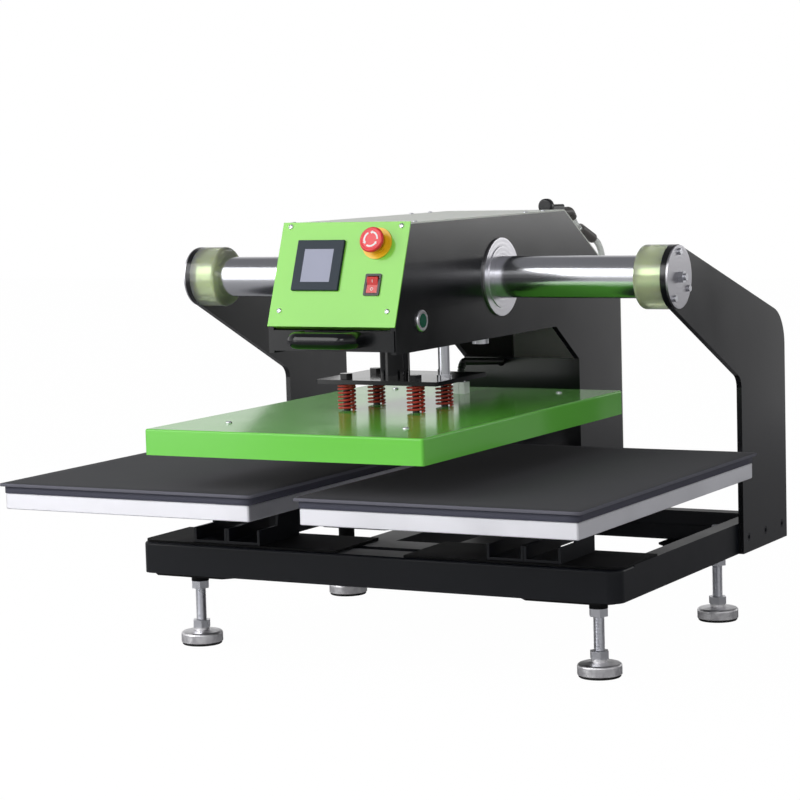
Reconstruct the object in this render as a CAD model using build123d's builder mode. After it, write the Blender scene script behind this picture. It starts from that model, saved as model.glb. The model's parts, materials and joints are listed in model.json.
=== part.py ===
from build123d import *
import math
import os

os.makedirs("parts", exist_ok=True)

# Axes: X across the two stations, Y from front to back, Z up from the floor. All sizes in mm.
front_y = -443.0  # front edge of the two lower plates, the zero line for every depth below
running_fit = 0.05  # radial clearance of shafts in their bores
free_gap = 0.3  # gap beside surfaces that move past each other
thread_fit = 0.05  # radial clearance of fixed screws and studs


def save(piece, name):
    piece.part.label = name
    export_step(piece.part, os.path.join("parts", name + ".step"))


# Lower stations
plate_w = 400.0
plate_d = 600.0
plate_t = 22.0
plate_gap = 78.0
plate_z = 240.5
plate_corner_r = 3.0
plate_edge = 1.0
pad_t = 10.0
sheet_t = 5.0
sheet_overhang = 5.0
station_x = (plate_w + plate_gap) / 2
plate_y = front_y + plate_d / 2
sheet_top = plate_z + plate_t + pad_t + sheet_t

# Widths along the guide tube, from the middle of the machine to the side plates
head_half_w = 99.0
flange_t = 3.0
flange_ring_t = 1.2
bumper_len = 41.5
head_reach = station_x + head_half_w + flange_t + flange_ring_t + free_gap
base_half_w = head_reach + bumper_len

# Welded base
beam_z = 114.0
beam_top = 159.5
base_front = front_y + 244.0
front_tube_d = 52.0
tube_slot = 22.0
second_tube_d = 58.0
base_corner_r = 18.0
tube_edge_r = 4.0
side_beam_w = 25.0
base_rear = front_y + 860.0
rail_y = front_y + 791.5
rail_t = 25.0
spine_x = 75.5
spine_w = 53.0
spine_top = 152.0
deck_t = 3.0
deck_inner_x = 55.0
deck_front = base_front + 6.0
deck_rear = base_front + front_tube_d + tube_slot + second_tube_d
second_tube_y = base_front + front_tube_d + tube_slot
deck_top = beam_top + deck_t

# Pedestals between the base and the lower plates
pedestal_w = 112.0
pedestal_front = front_y + 254.0
pedestal_rear = front_y + 365.0
pedestal_wall = 4.0
pedestal_low = 22.0
pedestal_step = 62.0
pedestal_ramp = 12.0
pedestal_seam = 0.4

# Levelling feet
foot_x = 324.0
foot_front_y = front_y + 309.4
foot_rear_y = front_y + 746.8
foot_r = 31.0
foot_rubber_t = 4.0
foot_rim = 15.5
foot_dome = 21.0
stud_r = 8.0
stud_foot = 12.0
stud_top = 145.0
nut_flats = 24.0
nut_t = 11.0
low_nut_z = 25.0
lock_nut_z = 84.0
boss_r = 13.0
boss_t = 16.0
foot_plate_t = 3.0
foot_plate_z = beam_z - foot_plate_t
boss_z = foot_plate_z - boss_t

# Side plates and the guide tube between them
side_plate_t = 8.0
tube_y = front_y + 445.0
tube_z = 539.0
tube_r = 30.0
tube_wall = 5.0
tip_r = 45.0
side_rear = front_y + 867.5
side_front = front_y + 683.0
upper_slope = 17.1
lower_slope = 25.5
rear_corner_r = 60.0
throat_r = 22.0
bumper_round = 5.0
disc_r = 44.0
disc_t = 3.0
disc_screw_pcd_r = 35.0
disc_screw_angles = (90.0, 235.0, 330.0)
screw_m8_r = 4.0
centre_bolt_r = 5.0
plug_len = 30.0

# Sliding head, drawn where the photograph shows it, a little right of the middle
head_x = 20.0
head_plate_t = 8.0
head_inner = head_half_w - head_plate_t
cover_t = 2.0
head_bottom = 453.5
head_front = front_y + 130.0
head_rear = front_y + 870.0
slope_top_y = front_y + 667.0
slope_angle = 31.6
head_rear_r = 28.0
column_front = front_y + 709.0
column_bend_z = 398.0
column_bend_y = front_y + 629.0
column_bottom = 168.0
floor_z = 459.0
floor_t = 6.0
floor_rear = front_y + 600.0

# Control panel, tilted back from upright
panel_foot_y = front_y + 127.0
panel_foot_z = 490.3
panel_len = 148.2
panel_tilt = 20.72
panel_flange = 12.0
tilt_sin = math.sin(math.radians(panel_tilt))
tilt_cos = math.cos(math.radians(panel_tilt))
panel = Plane(origin=(head_x, panel_foot_y, panel_foot_z), x_dir=(1, 0, 0), z_dir=(0, -tilt_cos, tilt_sin))
panel_back = panel.offset(-cover_t)
panel_lap = 1.41
head_top = panel_foot_z + panel_len * tilt_cos - panel_lap

# Press ram and upper plate
hub_y = front_y + 304.5
press_stroke = 48.0
spring_plate_w = 2 * head_half_w - 5.0
spring_plate_front = front_y + 246.0
spring_plate_rear = front_y + 400.0
spring_plate_z = 400.0
spring_plate_t = 6.0
spring_dx = 110.0
spring_dy = 85.0
spring_r = 13.0
spring_wire = 3.2
bolt_r = 5.0
hub_r = 21.0
hub_top = 446.0
rod_r = 10.0
guide_rod_r = 8.0
guide_rod_x = head_x + head_half_w - 21.0
cover_rim = 12.0
cover_w = plate_w + 2 * cover_rim
cover_d = plate_d + 2 * cover_rim
cover_h = 35.0
cover_z = 326.5
cover_wall = 1.5
cover_top = cover_z + cover_h
heat_plate_t = 20.0
heat_plate_z = sheet_top + press_stroke

# Screen, switches and buttons, placed on the panel from the middle of its lower edge
screen_x = -32.5
screen_t = 0.58 * panel_len
estop_x = 53.8
estop_t = 0.79 * panel_len
rocker_x = 56.0
rocker_t = 0.398 * panel_len
start_y = front_y + 202.0
start_z = 494.0

stations = [(-station_x, plate_y), (station_x, plate_y)]
feet = [(sx * foot_x, y) for sx in (-1, 1) for y in (foot_front_y, foot_rear_y)]

# Welded base: two front tubes, side beams, two flat spines and the rear rail that guides the rollers
side_beam_front = base_front + front_tube_d
spine_front = second_tube_y + second_tube_d
bolt_ys = [side_front + 22, (side_front + side_rear) / 2, side_rear - 22]
bolt_z = (beam_z + beam_top) / 2
with BuildPart() as base_frame:
    with BuildSketch(Plane.XY.offset(beam_z)):
        with Locations((0, base_front + front_tube_d / 2)):
            Rectangle(2 * base_half_w, front_tube_d)
        fillet(vertices().group_by(Axis.Y)[0], base_corner_r)
    extrude(amount=beam_top - beam_z)
    top_edges = base_frame.faces().sort_by(Axis.Z)[-1].edges()
    fillet(top_edges.filter_by_position(Axis.Y, base_front - 1, base_front + base_corner_r + 1), tube_edge_r)
    with BuildSketch(Plane.XY.offset(beam_z)):
        with Locations((0, second_tube_y + second_tube_d / 2)):
            Rectangle(2 * (base_half_w - side_beam_w), second_tube_d)
        with Locations((0, rail_y)):
            Rectangle(2 * (base_half_w - side_beam_w), rail_t)
        for side in (-1, 1):
            with Locations((side * (base_half_w - side_beam_w / 2), (side_beam_front + base_rear) / 2)):
                Rectangle(side_beam_w, base_rear - side_beam_front)
    extrude(amount=beam_top - beam_z)
    with BuildSketch(Plane.XY.offset(beam_z)):
        for side in (-1, 1):
            with Locations((side * spine_x, (spine_front + rail_y) / 2)):
                Rectangle(spine_w, rail_y - spine_front)
    extrude(amount=spine_top - beam_z)
    with BuildSketch(Plane.YZ.offset(-base_half_w)):
        with Locations(*[(y, bolt_z) for y in bolt_ys]):
            Circle(screw_m8_r + thread_fit)
    extrude(amount=2 * base_half_w, mode=Mode.SUBTRACT)
save(base_frame, "base_frame")

# Pedestals: two bent channels side by side, low in front and full height behind
channel_w = (pedestal_w - pedestal_seam) / 2
pedestal_h = plate_z - deck_top
with BuildPart() as channel:
    with BuildSketch(Plane.YZ) as channel_side:
        with BuildLine():
            Polyline(
                (pedestal_front, deck_top),
                (pedestal_front, deck_top + pedestal_low),
                (pedestal_front + pedestal_step - pedestal_ramp, deck_top + pedestal_low),
                (pedestal_front + pedestal_step, plate_z),
                (pedestal_rear, plate_z),
                (pedestal_rear, deck_top),
                close=True,
            )
        make_face()
    extrude(amount=channel_w / 2, both=True)
    with BuildSketch(Plane.XZ.offset(-pedestal_front)):
        with Locations((0, deck_top + pedestal_wall + (pedestal_h - 2 * pedestal_wall) / 2)):
            Rectangle(channel_w - 2 * pedestal_wall, pedestal_h - 2 * pedestal_wall)
    extrude(amount=-(pedestal_rear - pedestal_front), mode=Mode.SUBTRACT)
channel_shift = (channel_w + pedestal_seam) / 2
pedestal_xs = [side * station_x + half * channel_shift for side in (-1, 1) for half in (-1, 1)]
screw_dy = 24.0
screw_y = pedestal_rear - (pedestal_rear - pedestal_front - pedestal_step) / 2
with BuildPart() as pedestals:
    with Locations(*[(x, 0, 0) for x in pedestal_xs]):
        add(channel.part)
    with BuildSketch(Plane.XY.offset(plate_z - pedestal_wall)):
        with Locations(*[(x, screw_y) for x in pedestal_xs]):
            Circle(screw_m8_r + thread_fit)
    extrude(amount=pedestal_wall, mode=Mode.SUBTRACT)
save(pedestals, "pedestals")

screw_head_r = 6.5
screw_head_t = 5.0
screw_grip = 14.0
socket_flats = 6.0
with BuildPart() as base_screws:
    with BuildSketch(Plane.XY.offset(plate_z - pedestal_wall - screw_head_t)):
        with Locations(*[(x, screw_y) for x in pedestal_xs]):
            Circle(screw_head_r)
    extrude(amount=screw_head_t)
    with BuildSketch(Plane.XY.offset(plate_z - pedestal_wall)):
        with Locations(*[(x, screw_y) for x in pedestal_xs]):
            Circle(screw_m8_r)
    extrude(amount=screw_grip)
    for side in (-1, 1):
        head_plane = Plane.YZ.offset(side * (base_half_w + side_plate_t))
        with BuildSketch(head_plane):
            with Locations(*[(y, bolt_z) for y in bolt_ys]):
                Circle(screw_head_r)
        extrude(amount=-side * screw_head_t)
        with BuildSketch(head_plane):
            with Locations(*[(y, bolt_z) for y in bolt_ys]):
                Circle(screw_m8_r)
        extrude(amount=-side * (side_plate_t + side_beam_w))
        with BuildSketch(head_plane):
            with Locations(*[(y, bolt_z) for y in bolt_ys]):
                RegularPolygon(socket_flats / 2, 6, major_radius=False)
        extrude(amount=-side * screw_head_t / 2, mode=Mode.SUBTRACT)
save(base_screws, "base_screws")

# Lower plates with their pads and cover sheets
with BuildPart() as lower_plates:
    with BuildSketch(Plane.XY.offset(plate_z)):
        with Locations(*stations):
            RectangleRounded(plate_w, plate_d, plate_corner_r)
    extrude(amount=plate_t)
    chamfer(lower_plates.faces().group_by(Axis.Z)[-1].edges(), plate_edge)
    chamfer(lower_plates.faces().group_by(Axis.Z)[0].edges(), plate_edge)
    with BuildSketch(Plane.XY.offset(plate_z)):
        with Locations(*[(x, screw_y) for x in pedestal_xs]):
            Circle(screw_m8_r + thread_fit)
    extrude(amount=screw_grip - pedestal_wall + 1, mode=Mode.SUBTRACT)
save(lower_plates, "lower_plates")

with BuildPart() as silicone_pads:
    with BuildSketch(Plane.XY.offset(plate_z + plate_t)):
        with Locations(*stations):
            RectangleRounded(plate_w, plate_d, plate_corner_r)
    extrude(amount=pad_t)
save(silicone_pads, "silicone_pads")

with BuildPart() as cover_sheets:
    with BuildSketch(Plane.XY.offset(plate_z + plate_t + pad_t)):
        with Locations(*stations):
            RectangleRounded(plate_w + 2 * sheet_overhang, plate_d + 2 * sheet_overhang, plate_corner_r)
    extrude(amount=sheet_t)
save(cover_sheets, "cover_sheets")

# Plates welded to the base: decks under the pedestals, foot plates with threaded bosses at the corners
foot_plate_w = 140.0
foot_plate_x = 300.0
foot_plate_corner = 14.0
with BuildPart() as base_plates:
    deck_w = base_half_w - deck_inner_x
    with BuildSketch(Plane.XY.offset(beam_top)):
        for side in (-1, 1):
            with Locations((side * (deck_inner_x + deck_w / 2), (deck_front + deck_rear) / 2)):
                Rectangle(deck_w, deck_rear - deck_front)
        front_corners = vertices().group_by(Axis.Y)[0]
        fillet([v for v in front_corners if abs(v.X) > base_half_w - 1], base_corner_r)
    extrude(amount=deck_t)
    with BuildSketch(Plane.XY.offset(foot_plate_z)):
        for side in (-1, 1):
            with Locations((side * foot_plate_x, (base_front + deck_rear) / 2 + 1)):
                Rectangle(foot_plate_w, deck_rear - base_front - 2)
            with Locations((side * foot_plate_x, rail_y - (rail_y + rail_t / 2 - foot_rear_y) / 2 + 12)):
                Rectangle(foot_plate_w, 2 * (rail_y + rail_t / 2 - foot_rear_y) - 24)
        chamfer(vertices(), foot_plate_corner)
    extrude(amount=foot_plate_t)
    with BuildSketch(Plane.XY.offset(boss_z)):
        with Locations(*feet):
            Circle(boss_r)
    extrude(amount=boss_t)
    with BuildSketch(Plane.XY.offset(boss_z)):
        with Locations(*feet):
            Circle(stud_r + thread_fit)
    extrude(amount=boss_t + foot_plate_t, mode=Mode.SUBTRACT)
save(base_plates, "base_plates")

with BuildPart() as foot_disc:
    with BuildSketch(Plane.XZ):
        with BuildLine():
            foot_side = Line((foot_r, foot_rubber_t), (foot_r, foot_rim))
            foot_base = Line((0, foot_rubber_t), (foot_r, foot_rubber_t))
            foot_neck = Line((stud_r + 3, foot_dome), (stud_r + 3, low_nut_z))
            foot_collar = Polyline((stud_r + 3, low_nut_z), (0, low_nut_z), (0, foot_rubber_t))
            foot_edge = ThreePointArc(
                (foot_r, foot_rim),
                (foot_r - 1.2, foot_rim + 2.4),
                (foot_r - 3.6, foot_rim + 3.6),
            )
            foot_top = Line(foot_edge @ 1, (stud_r + 3, foot_dome))
        make_face()
    revolve(axis=Axis.Z)
    with Locations((0, 0, low_nut_z)):
        Hole(stud_r + thread_fit, depth=low_nut_z - stud_foot)
with BuildPart() as foot_discs:
    with Locations(*[(x, y, 0) for x, y in feet]):
        add(foot_disc.part)
save(foot_discs, "foot_discs")

with BuildPart() as foot_rubbers:
    with BuildSketch():
        with Locations(*feet):
            Circle(foot_r - 1.5)
    extrude(amount=foot_rubber_t)
    chamfer(foot_rubbers.faces().group_by(Axis.Z)[0].edges(), 1.0)
save(foot_rubbers, "foot_rubbers")

with BuildPart() as foot_studs:
    with BuildSketch(Plane.XY.offset(stud_foot)):
        with Locations(*feet):
            Circle(stud_r)
    extrude(amount=stud_top - stud_foot)
    chamfer(foot_studs.faces().group_by(Axis.Z)[-1].edges(), 1.0)
    for z in (low_nut_z, lock_nut_z):
        with BuildSketch(Plane.XY.offset(z)):
            with Locations(*feet):
                RegularPolygon(nut_flats / 2, 6, major_radius=False)
                Circle(stud_r + thread_fit, mode=Mode.SUBTRACT)
        extrude(amount=nut_t)
save(foot_studs, "foot_studs")

# Side plates: one bent arm profile cut from thick plate
up = math.radians(upper_slope)
low = math.radians(lower_slope)
upper_start = (tube_y + tip_r * math.sin(up), tube_z + tip_r * math.cos(up))
lower_start = (tube_y - tip_r * math.sin(low), tube_z - tip_r * math.cos(low))
upper_corner = (side_rear, upper_start[1] - (side_rear - upper_start[0]) * math.tan(up))
throat_corner = (side_front, lower_start[1] - (side_front - lower_start[0]) * math.tan(low))
disc_screw_points = [
    (
        tube_y + disc_screw_pcd_r * math.cos(math.radians(a)),
        tube_z + disc_screw_pcd_r * math.sin(math.radians(a)),
    )
    for a in disc_screw_angles
]
for side, name in ((-1, "left"), (1, "right")):
    with BuildPart() as side_plate:
        with BuildSketch(Plane.YZ.offset(side * (base_half_w + side_plate_t / 2))):
            with BuildLine():
                Polyline(
                    lower_start,
                    throat_corner,
                    (side_front, beam_z),
                    (side_rear, beam_z),
                    upper_corner,
                    upper_start,
                    (tube_y, tube_z),
                    close=True,
                )
            make_face()
            fillet(vertices().sort_by_distance((*upper_corner, 0))[0], rear_corner_r)
            fillet(vertices().sort_by_distance((*throat_corner, 0))[0], throat_r)
            with Locations((tube_y, tube_z)):
                Circle(tip_r)
                Circle(centre_bolt_r + thread_fit, mode=Mode.SUBTRACT)
            with Locations(*disc_screw_points):
                Circle(screw_m8_r / 2 + thread_fit, mode=Mode.SUBTRACT)
            with Locations(*[(y, bolt_z) for y in bolt_ys]):
                Circle(screw_m8_r + thread_fit, mode=Mode.SUBTRACT)
        extrude(amount=side_plate_t / 2, both=True)
        with BuildSketch(Plane.YZ.offset(side * (base_half_w + side_plate_t))):
            with Locations(*[(y, bolt_z) for y in bolt_ys]):
                Circle(screw_head_r + thread_fit)
        extrude(amount=-side * screw_head_t, mode=Mode.SUBTRACT)
    save(side_plate, "side_plate_" + name)

with BuildPart() as guide_tube:
    with BuildSketch(Plane.YZ):
        with Locations((tube_y, tube_z)):
            Circle(tube_r)
            Circle(tube_r - tube_wall, mode=Mode.SUBTRACT)
    extrude(amount=base_half_w, both=True)
    for side in (-1, 1):
        with BuildSketch(Plane.YZ.offset(side * base_half_w)):
            with Locations((tube_y, tube_z)):
                Circle(tube_r - tube_wall)
                Circle(centre_bolt_r + thread_fit, mode=Mode.SUBTRACT)
        extrude(amount=-side * plug_len)
save(guide_tube, "guide_tube")

with BuildPart() as bumpers:
    for side in (-1, 1):
        with BuildSketch(Plane.YZ.offset(side * base_half_w)):
            with Locations((tube_y, tube_z)):
                Circle(tip_r)
        extrude(amount=-side * bumper_len)
    for side in (-1, 1):
        inner_face = (side * (base_half_w - bumper_len), tube_y, tube_z)
        fillet(bumpers.edges().filter_by(GeomType.CIRCLE).sort_by_distance(inner_face)[0], bumper_round)
    with BuildSketch(Plane.YZ.offset(-base_half_w)):
        with Locations((tube_y, tube_z)):
            Circle(tube_r + thread_fit)
    extrude(amount=2 * base_half_w, mode=Mode.SUBTRACT)
    for side in (-1, 1):
        with BuildSketch(Plane.YZ.offset(side * base_half_w)):
            with Locations(*disc_screw_points):
                Circle(screw_m8_r / 2 + thread_fit)
        extrude(amount=-side * (bumper_len / 2 + 1), mode=Mode.SUBTRACT)
save(bumpers, "bumpers")

disc_x = base_half_w + side_plate_t
with BuildPart() as end_discs:
    for side in (-1, 1):
        with BuildSketch(Plane.YZ.offset(side * disc_x)):
            with Locations((tube_y, tube_z)):
                Circle(disc_r)
                Circle(centre_bolt_r + thread_fit, mode=Mode.SUBTRACT)
            with Locations(*disc_screw_points):
                Circle(screw_m8_r / 2 + thread_fit, mode=Mode.SUBTRACT)
        extrude(amount=side * disc_t)
save(end_discs, "end_discs")

disc_screw_head_r = 4.5
disc_screw_head_t = 3.5
centre_nut_flats = 15.0
centre_nut_t = 7.0
centre_stub = 11.0
with BuildPart() as end_disc_bolts:
    for side in (-1, 1):
        outside = Plane.YZ.offset(side * (disc_x + disc_t))
        with BuildSketch(outside):
            with Locations(*disc_screw_points):
                Circle(disc_screw_head_r)
        extrude(amount=side * disc_screw_head_t)
        with BuildSketch(outside):
            with Locations(*disc_screw_points):
                Circle(screw_m8_r / 2)
        extrude(amount=-side * (disc_t + side_plate_t + bumper_len / 2))
        with BuildSketch(outside):
            with Locations((tube_y, tube_z)):
                RegularPolygon(centre_nut_flats / 2, 6, major_radius=False)
        extrude(amount=side * centre_nut_t)
        with BuildSketch(outside):
            with Locations((tube_y, tube_z)):
                Circle(centre_bolt_r)
        extrude(amount=side * centre_stub)
        with BuildSketch(outside):
            with Locations((tube_y, tube_z)):
                Circle(centre_bolt_r)
        extrude(amount=-side * (disc_t + side_plate_t + plug_len))
save(end_disc_bolts, "end_disc_bolts")

# Side plates of the head: box part on the guide tube and a column down behind the stations
inset_y = panel_foot_y + cover_t * tilt_cos
inset_z = panel_foot_z - cover_t * tilt_sin
plate_top_z = head_top - cover_t
plate_rear = head_rear - cover_t
slope_tan = math.tan(math.radians(slope_angle))
slope_shift = cover_t / math.cos(math.radians(slope_angle)) - cover_t
slope_plate_y = slope_top_y - slope_shift / slope_tan
front_knee_z = inset_z + (head_front - inset_y) / tilt_sin * tilt_cos
front_top_y = inset_y + (plate_top_z - inset_z) / tilt_cos * tilt_sin
rear_knee_z = plate_top_z - (plate_rear - slope_plate_y) * slope_tan
bearing_r = 40.0
bearing_len = 80.0
start_barrel_r = 11.0
cover_screw_x = head_half_w - head_plate_t / 2
cover_screw_ys = [front_y + 199.0, front_y + 540.0, front_y + 600.0]
cover_screw_r = 2.0
cover_screw_len = 6.0
for side, name in ((-1, "left"), (1, "right")):
    with BuildPart() as head_plate:
        mid_x = head_x + side * (head_half_w - head_plate_t / 2)
        with BuildSketch(Plane.YZ.offset(mid_x)):
            with BuildLine():
                Polyline(
                    (head_front, head_bottom),
                    (head_front, front_knee_z),
                    (front_top_y, plate_top_z),
                    (slope_plate_y, plate_top_z),
                    (plate_rear, rear_knee_z),
                    (plate_rear, column_bottom),
                    (column_front, column_bottom),
                    (column_front, column_bend_z),
                    (column_bend_y, head_bottom),
                    close=True,
                )
            make_face()
            fillet(vertices().sort_by_distance((plate_rear, rear_knee_z, 0))[0], head_rear_r)
            with Locations((tube_y, tube_z)):
                Circle(bearing_r + thread_fit, mode=Mode.SUBTRACT)
            with Locations((start_y, start_z)):
                Circle(start_barrel_r + thread_fit, mode=Mode.SUBTRACT)
        extrude(amount=head_plate_t / 2, both=True)
        with BuildSketch(Plane.XY.offset(plate_top_z)):
            with Locations(*[(mid_x, y) for y in cover_screw_ys]):
                Circle(cover_screw_r + thread_fit)
        extrude(amount=-cover_screw_len, mode=Mode.SUBTRACT)
    save(head_plate, "head_plate_" + name)

# Control panel: folded sheet with cut-outs for the screen and switches
bezel_w = 73.0
bezel_h = 71.4
bezel_t = 4.0
screen_body_w = 66.0
screen_body_h = 64.0
rocker_body_w = 19.0
rocker_body_h = 26.0
estop_barrel_r = 11.0
low_screw = (head_half_w - 15.0, 22.0)
high_screw = (head_half_w - 12.5, panel_len - 6.2)
panel_screws = [(side * x, t) for x, t in (low_screw, high_screw) for side in (-1, 1)]
panel_screw_r = 2.0
with BuildPart() as control_panel:
    with BuildSketch(panel_back):
        with Locations((0, panel_len / 2)):
            Rectangle(2 * head_half_w, panel_len)
    extrude(amount=cover_t)
    with BuildSketch(panel_back):
        with Locations((0, cover_t / 2)):
            Rectangle(2 * (head_inner - free_gap), cover_t)
        for side in (-1, 1):
            with Locations((side * (head_inner - free_gap - cover_t / 2), panel_len / 2)):
                Rectangle(cover_t, panel_len - 10)
    extrude(amount=-panel_flange)
    with BuildSketch(panel):
        with Locations((screen_x, screen_t)):
            Rectangle(screen_body_w + 0.4, screen_body_h + 0.4)
        with Locations((rocker_x, rocker_t)):
            Rectangle(rocker_body_w + 0.4, rocker_body_h + 0.4)
        with Locations((estop_x, estop_t)):
            Circle(estop_barrel_r + 0.2)
        with Locations(*panel_screws):
            Circle(panel_screw_r + thread_fit)
    extrude(amount=-cover_t, mode=Mode.SUBTRACT)
save(control_panel, "control_panel")

# Black front lip under the panel, folded back under the head floor
lip_y = panel_foot_y + 1.0
lip_top = 485.0
lip_bottom = 457.0
lip_return = 22.0
handle_half = 54.0
handle_r = 11.2
handle_bend = 14.0
handle_reach = 31.0
handle_z = 473.5
handle_screw_r = 2.5
handle_foot = handle_half - handle_r
with BuildPart() as front_lip:
    with BuildSketch(Plane.XZ.offset(-lip_y)):
        with Locations((head_x, (lip_top + lip_bottom) / 2)):
            Rectangle(2 * (head_half_w - cover_t), lip_top - lip_bottom)
    extrude(amount=-cover_t)
    with BuildSketch(Plane.XY.offset(lip_bottom)):
        with Locations((head_x, lip_y + lip_return / 2)):
            Rectangle(2 * (head_inner - free_gap), lip_return)
    extrude(amount=cover_t)
    fillet(front_lip.edges().filter_by(Axis.X).sort_by(Axis.Z)[0:2].sort_by(Axis.Y)[0], 1.5)
    with BuildSketch(Plane.XZ.offset(-lip_y - cover_t)):
        with Locations((head_x - handle_foot, handle_z), (head_x + handle_foot, handle_z)):
            Circle(handle_screw_r + thread_fit)
    extrude(amount=cover_t, mode=Mode.SUBTRACT)
save(front_lip, "front_lip")

# Handle: one bent tube whose ends meet the lip
with BuildPart() as handle:
    with BuildLine(Plane.XY.offset(handle_z)):
        FilletPolyline(
            (head_x - handle_foot, lip_y),
            (head_x - handle_foot, lip_y - handle_reach),
            (head_x + handle_foot, lip_y - handle_reach),
            (head_x + handle_foot, lip_y),
            radius=handle_bend,
        )
    with BuildSketch(Plane.XZ.offset(-lip_y)):
        with Locations((head_x - handle_foot, handle_z)):
            Circle(handle_r)
    sweep()
    with BuildSketch(Plane.XZ.offset(-lip_y)):
        with Locations((head_x - handle_foot, handle_z), (head_x + handle_foot, handle_z)):
            Circle(handle_screw_r + thread_fit)
    extrude(amount=handle_reach / 2, mode=Mode.SUBTRACT)
save(handle, "handle")

# Screws that hold the handle from behind the lip
handle_screw_head_r = 4.5
handle_screw_head_t = 3.0
handle_socket_r = 1.5
with BuildPart() as handle_screws:
    with BuildSketch(Plane.XZ.offset(-lip_y - cover_t)):
        with Locations((head_x - handle_foot, handle_z), (head_x + handle_foot, handle_z)):
            Circle(handle_screw_head_r)
    extrude(amount=-handle_screw_head_t)
    with BuildSketch(Plane.XZ.offset(-lip_y - cover_t)):
        with Locations((head_x - handle_foot, handle_z), (head_x + handle_foot, handle_z)):
            Circle(handle_screw_r)
    extrude(amount=cover_t + handle_reach / 3)
    with BuildSketch(Plane.XZ.offset(-lip_y - cover_t - handle_screw_head_t)):
        with Locations((head_x - handle_foot, handle_z), (head_x + handle_foot, handle_z)):
            RegularPolygon(handle_socket_r, 6, major_radius=False)
    extrude(amount=handle_screw_head_t / 2, mode=Mode.SUBTRACT)
save(handle_screws, "handle_screws")

# Floor of the head that carries the cylinder
guide_bush_r = 11.0
nose_r = 22.0
gland_x = head_x + head_half_w - 27.0
gland_y = front_y + 430.0
gland_r = 8.0
with BuildPart() as head_floor:
    with BuildSketch(Plane.XY.offset(floor_z)):
        with Locations((head_x, (lip_y + cover_t + floor_rear) / 2)):
            Rectangle(2 * head_inner, floor_rear - lip_y - cover_t)
        with Locations((head_x, hub_y)):
            Circle(nose_r + thread_fit, mode=Mode.SUBTRACT)
        with Locations((guide_rod_x, hub_y)):
            Circle(guide_bush_r + thread_fit, mode=Mode.SUBTRACT)
        with Locations((gland_x, gland_y)):
            Circle(gland_r + thread_fit, mode=Mode.SUBTRACT)
    extrude(amount=floor_t)
save(head_floor, "head_floor")

# Pneumatic cylinder on the head floor
cylinder_w = 90.0
cylinder_h = 86.0
cylinder_bore_r = 40.0
cylinder_end = 9.0
cylinder_z = floor_z + floor_t
with BuildPart() as cylinder:
    with BuildSketch(Plane.XY.offset(cylinder_z)):
        with Locations((head_x, hub_y)):
            RectangleRounded(cylinder_w, cylinder_w, 8)
    extrude(amount=cylinder_h)
    with BuildSketch(Plane.XY.offset(floor_z)):
        with Locations((head_x, hub_y)):
            Circle(nose_r)
    extrude(amount=floor_t)
    with BuildSketch(Plane.XY.offset(cylinder_z + cylinder_end)):
        with Locations((head_x, hub_y)):
            Circle(cylinder_bore_r)
    extrude(amount=cylinder_h - 2 * cylinder_end, mode=Mode.SUBTRACT)
    with BuildSketch(Plane.XY.offset(floor_z)):
        with Locations((head_x, hub_y)):
            Circle(rod_r + running_fit)
    extrude(amount=floor_t + cylinder_end, mode=Mode.SUBTRACT)
save(cylinder, "cylinder")

# Solenoid valve block behind the guide tube
valve_y = front_y + 545.0
valve_base = (70.0, 40.0, 30.0)
solenoid = (22.0, 30.0, 28.0)
solenoid_pitch = 30.0
with BuildPart() as valve_block:
    with BuildSketch(Plane.XY.offset(floor_z + floor_t)):
        with Locations((head_x, valve_y)):
            RectangleRounded(valve_base[0], valve_base[1], 3)
    extrude(amount=valve_base[2])
    with BuildSketch(Plane.XY.offset(floor_z + floor_t + valve_base[2])):
        with Locations((head_x, valve_y)):
            with GridLocations(solenoid_pitch, 0, 2, 1):
                RectangleRounded(solenoid[0], solenoid[1], 2)
    extrude(amount=solenoid[2])
save(valve_block, "valve_block")

# Flanged bushes that run on the guide tube, and the bush of the press's guide rod
bush_flange_r = 12.5
bush_flange_t = 4.0
bush_len = 30.0
flange_r = 56.0
flange_ring_r = 44.0
with BuildPart() as flange_bearings:
    for side in (-1, 1):
        for radius, start, length in (
            (flange_r, head_half_w, flange_t),
            (flange_ring_r, head_half_w + flange_t, flange_ring_t),
            (bearing_r, head_half_w - bearing_len, bearing_len),
        ):
            with BuildSketch(Plane.YZ.offset(head_x + side * start)):
                with Locations((tube_y, tube_z)):
                    Circle(radius)
                    Circle(tube_r + running_fit, mode=Mode.SUBTRACT)
            extrude(amount=side * length)
    for radius, start, length in (
        (guide_bush_r, floor_z, floor_t + bush_len),
        (bush_flange_r, floor_z + floor_t, bush_flange_t),
    ):
        with BuildSketch(Plane.XY.offset(start)):
            with Locations((guide_rod_x, hub_y)):
                Circle(radius)
                Circle(guide_rod_r + running_fit, mode=Mode.SUBTRACT)
        extrude(amount=length)
save(flange_bearings, "flange_bearings")

# Sheet covers of the head
with BuildPart() as top_cover:
    cover_front = front_top_y + cover_t * tilt_sin / tilt_cos
    with BuildSketch(Plane.XY.offset(plate_top_z)):
        with Locations((head_x, (cover_front + slope_plate_y) / 2)):
            Rectangle(2 * head_half_w, slope_plate_y - cover_front)
        with Locations(*[(head_x + side * cover_screw_x, y) for side in (-1, 1) for y in cover_screw_ys]):
            Circle(cover_screw_r + thread_fit, mode=Mode.SUBTRACT)
    extrude(amount=cover_t)
save(top_cover, "top_cover")

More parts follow.
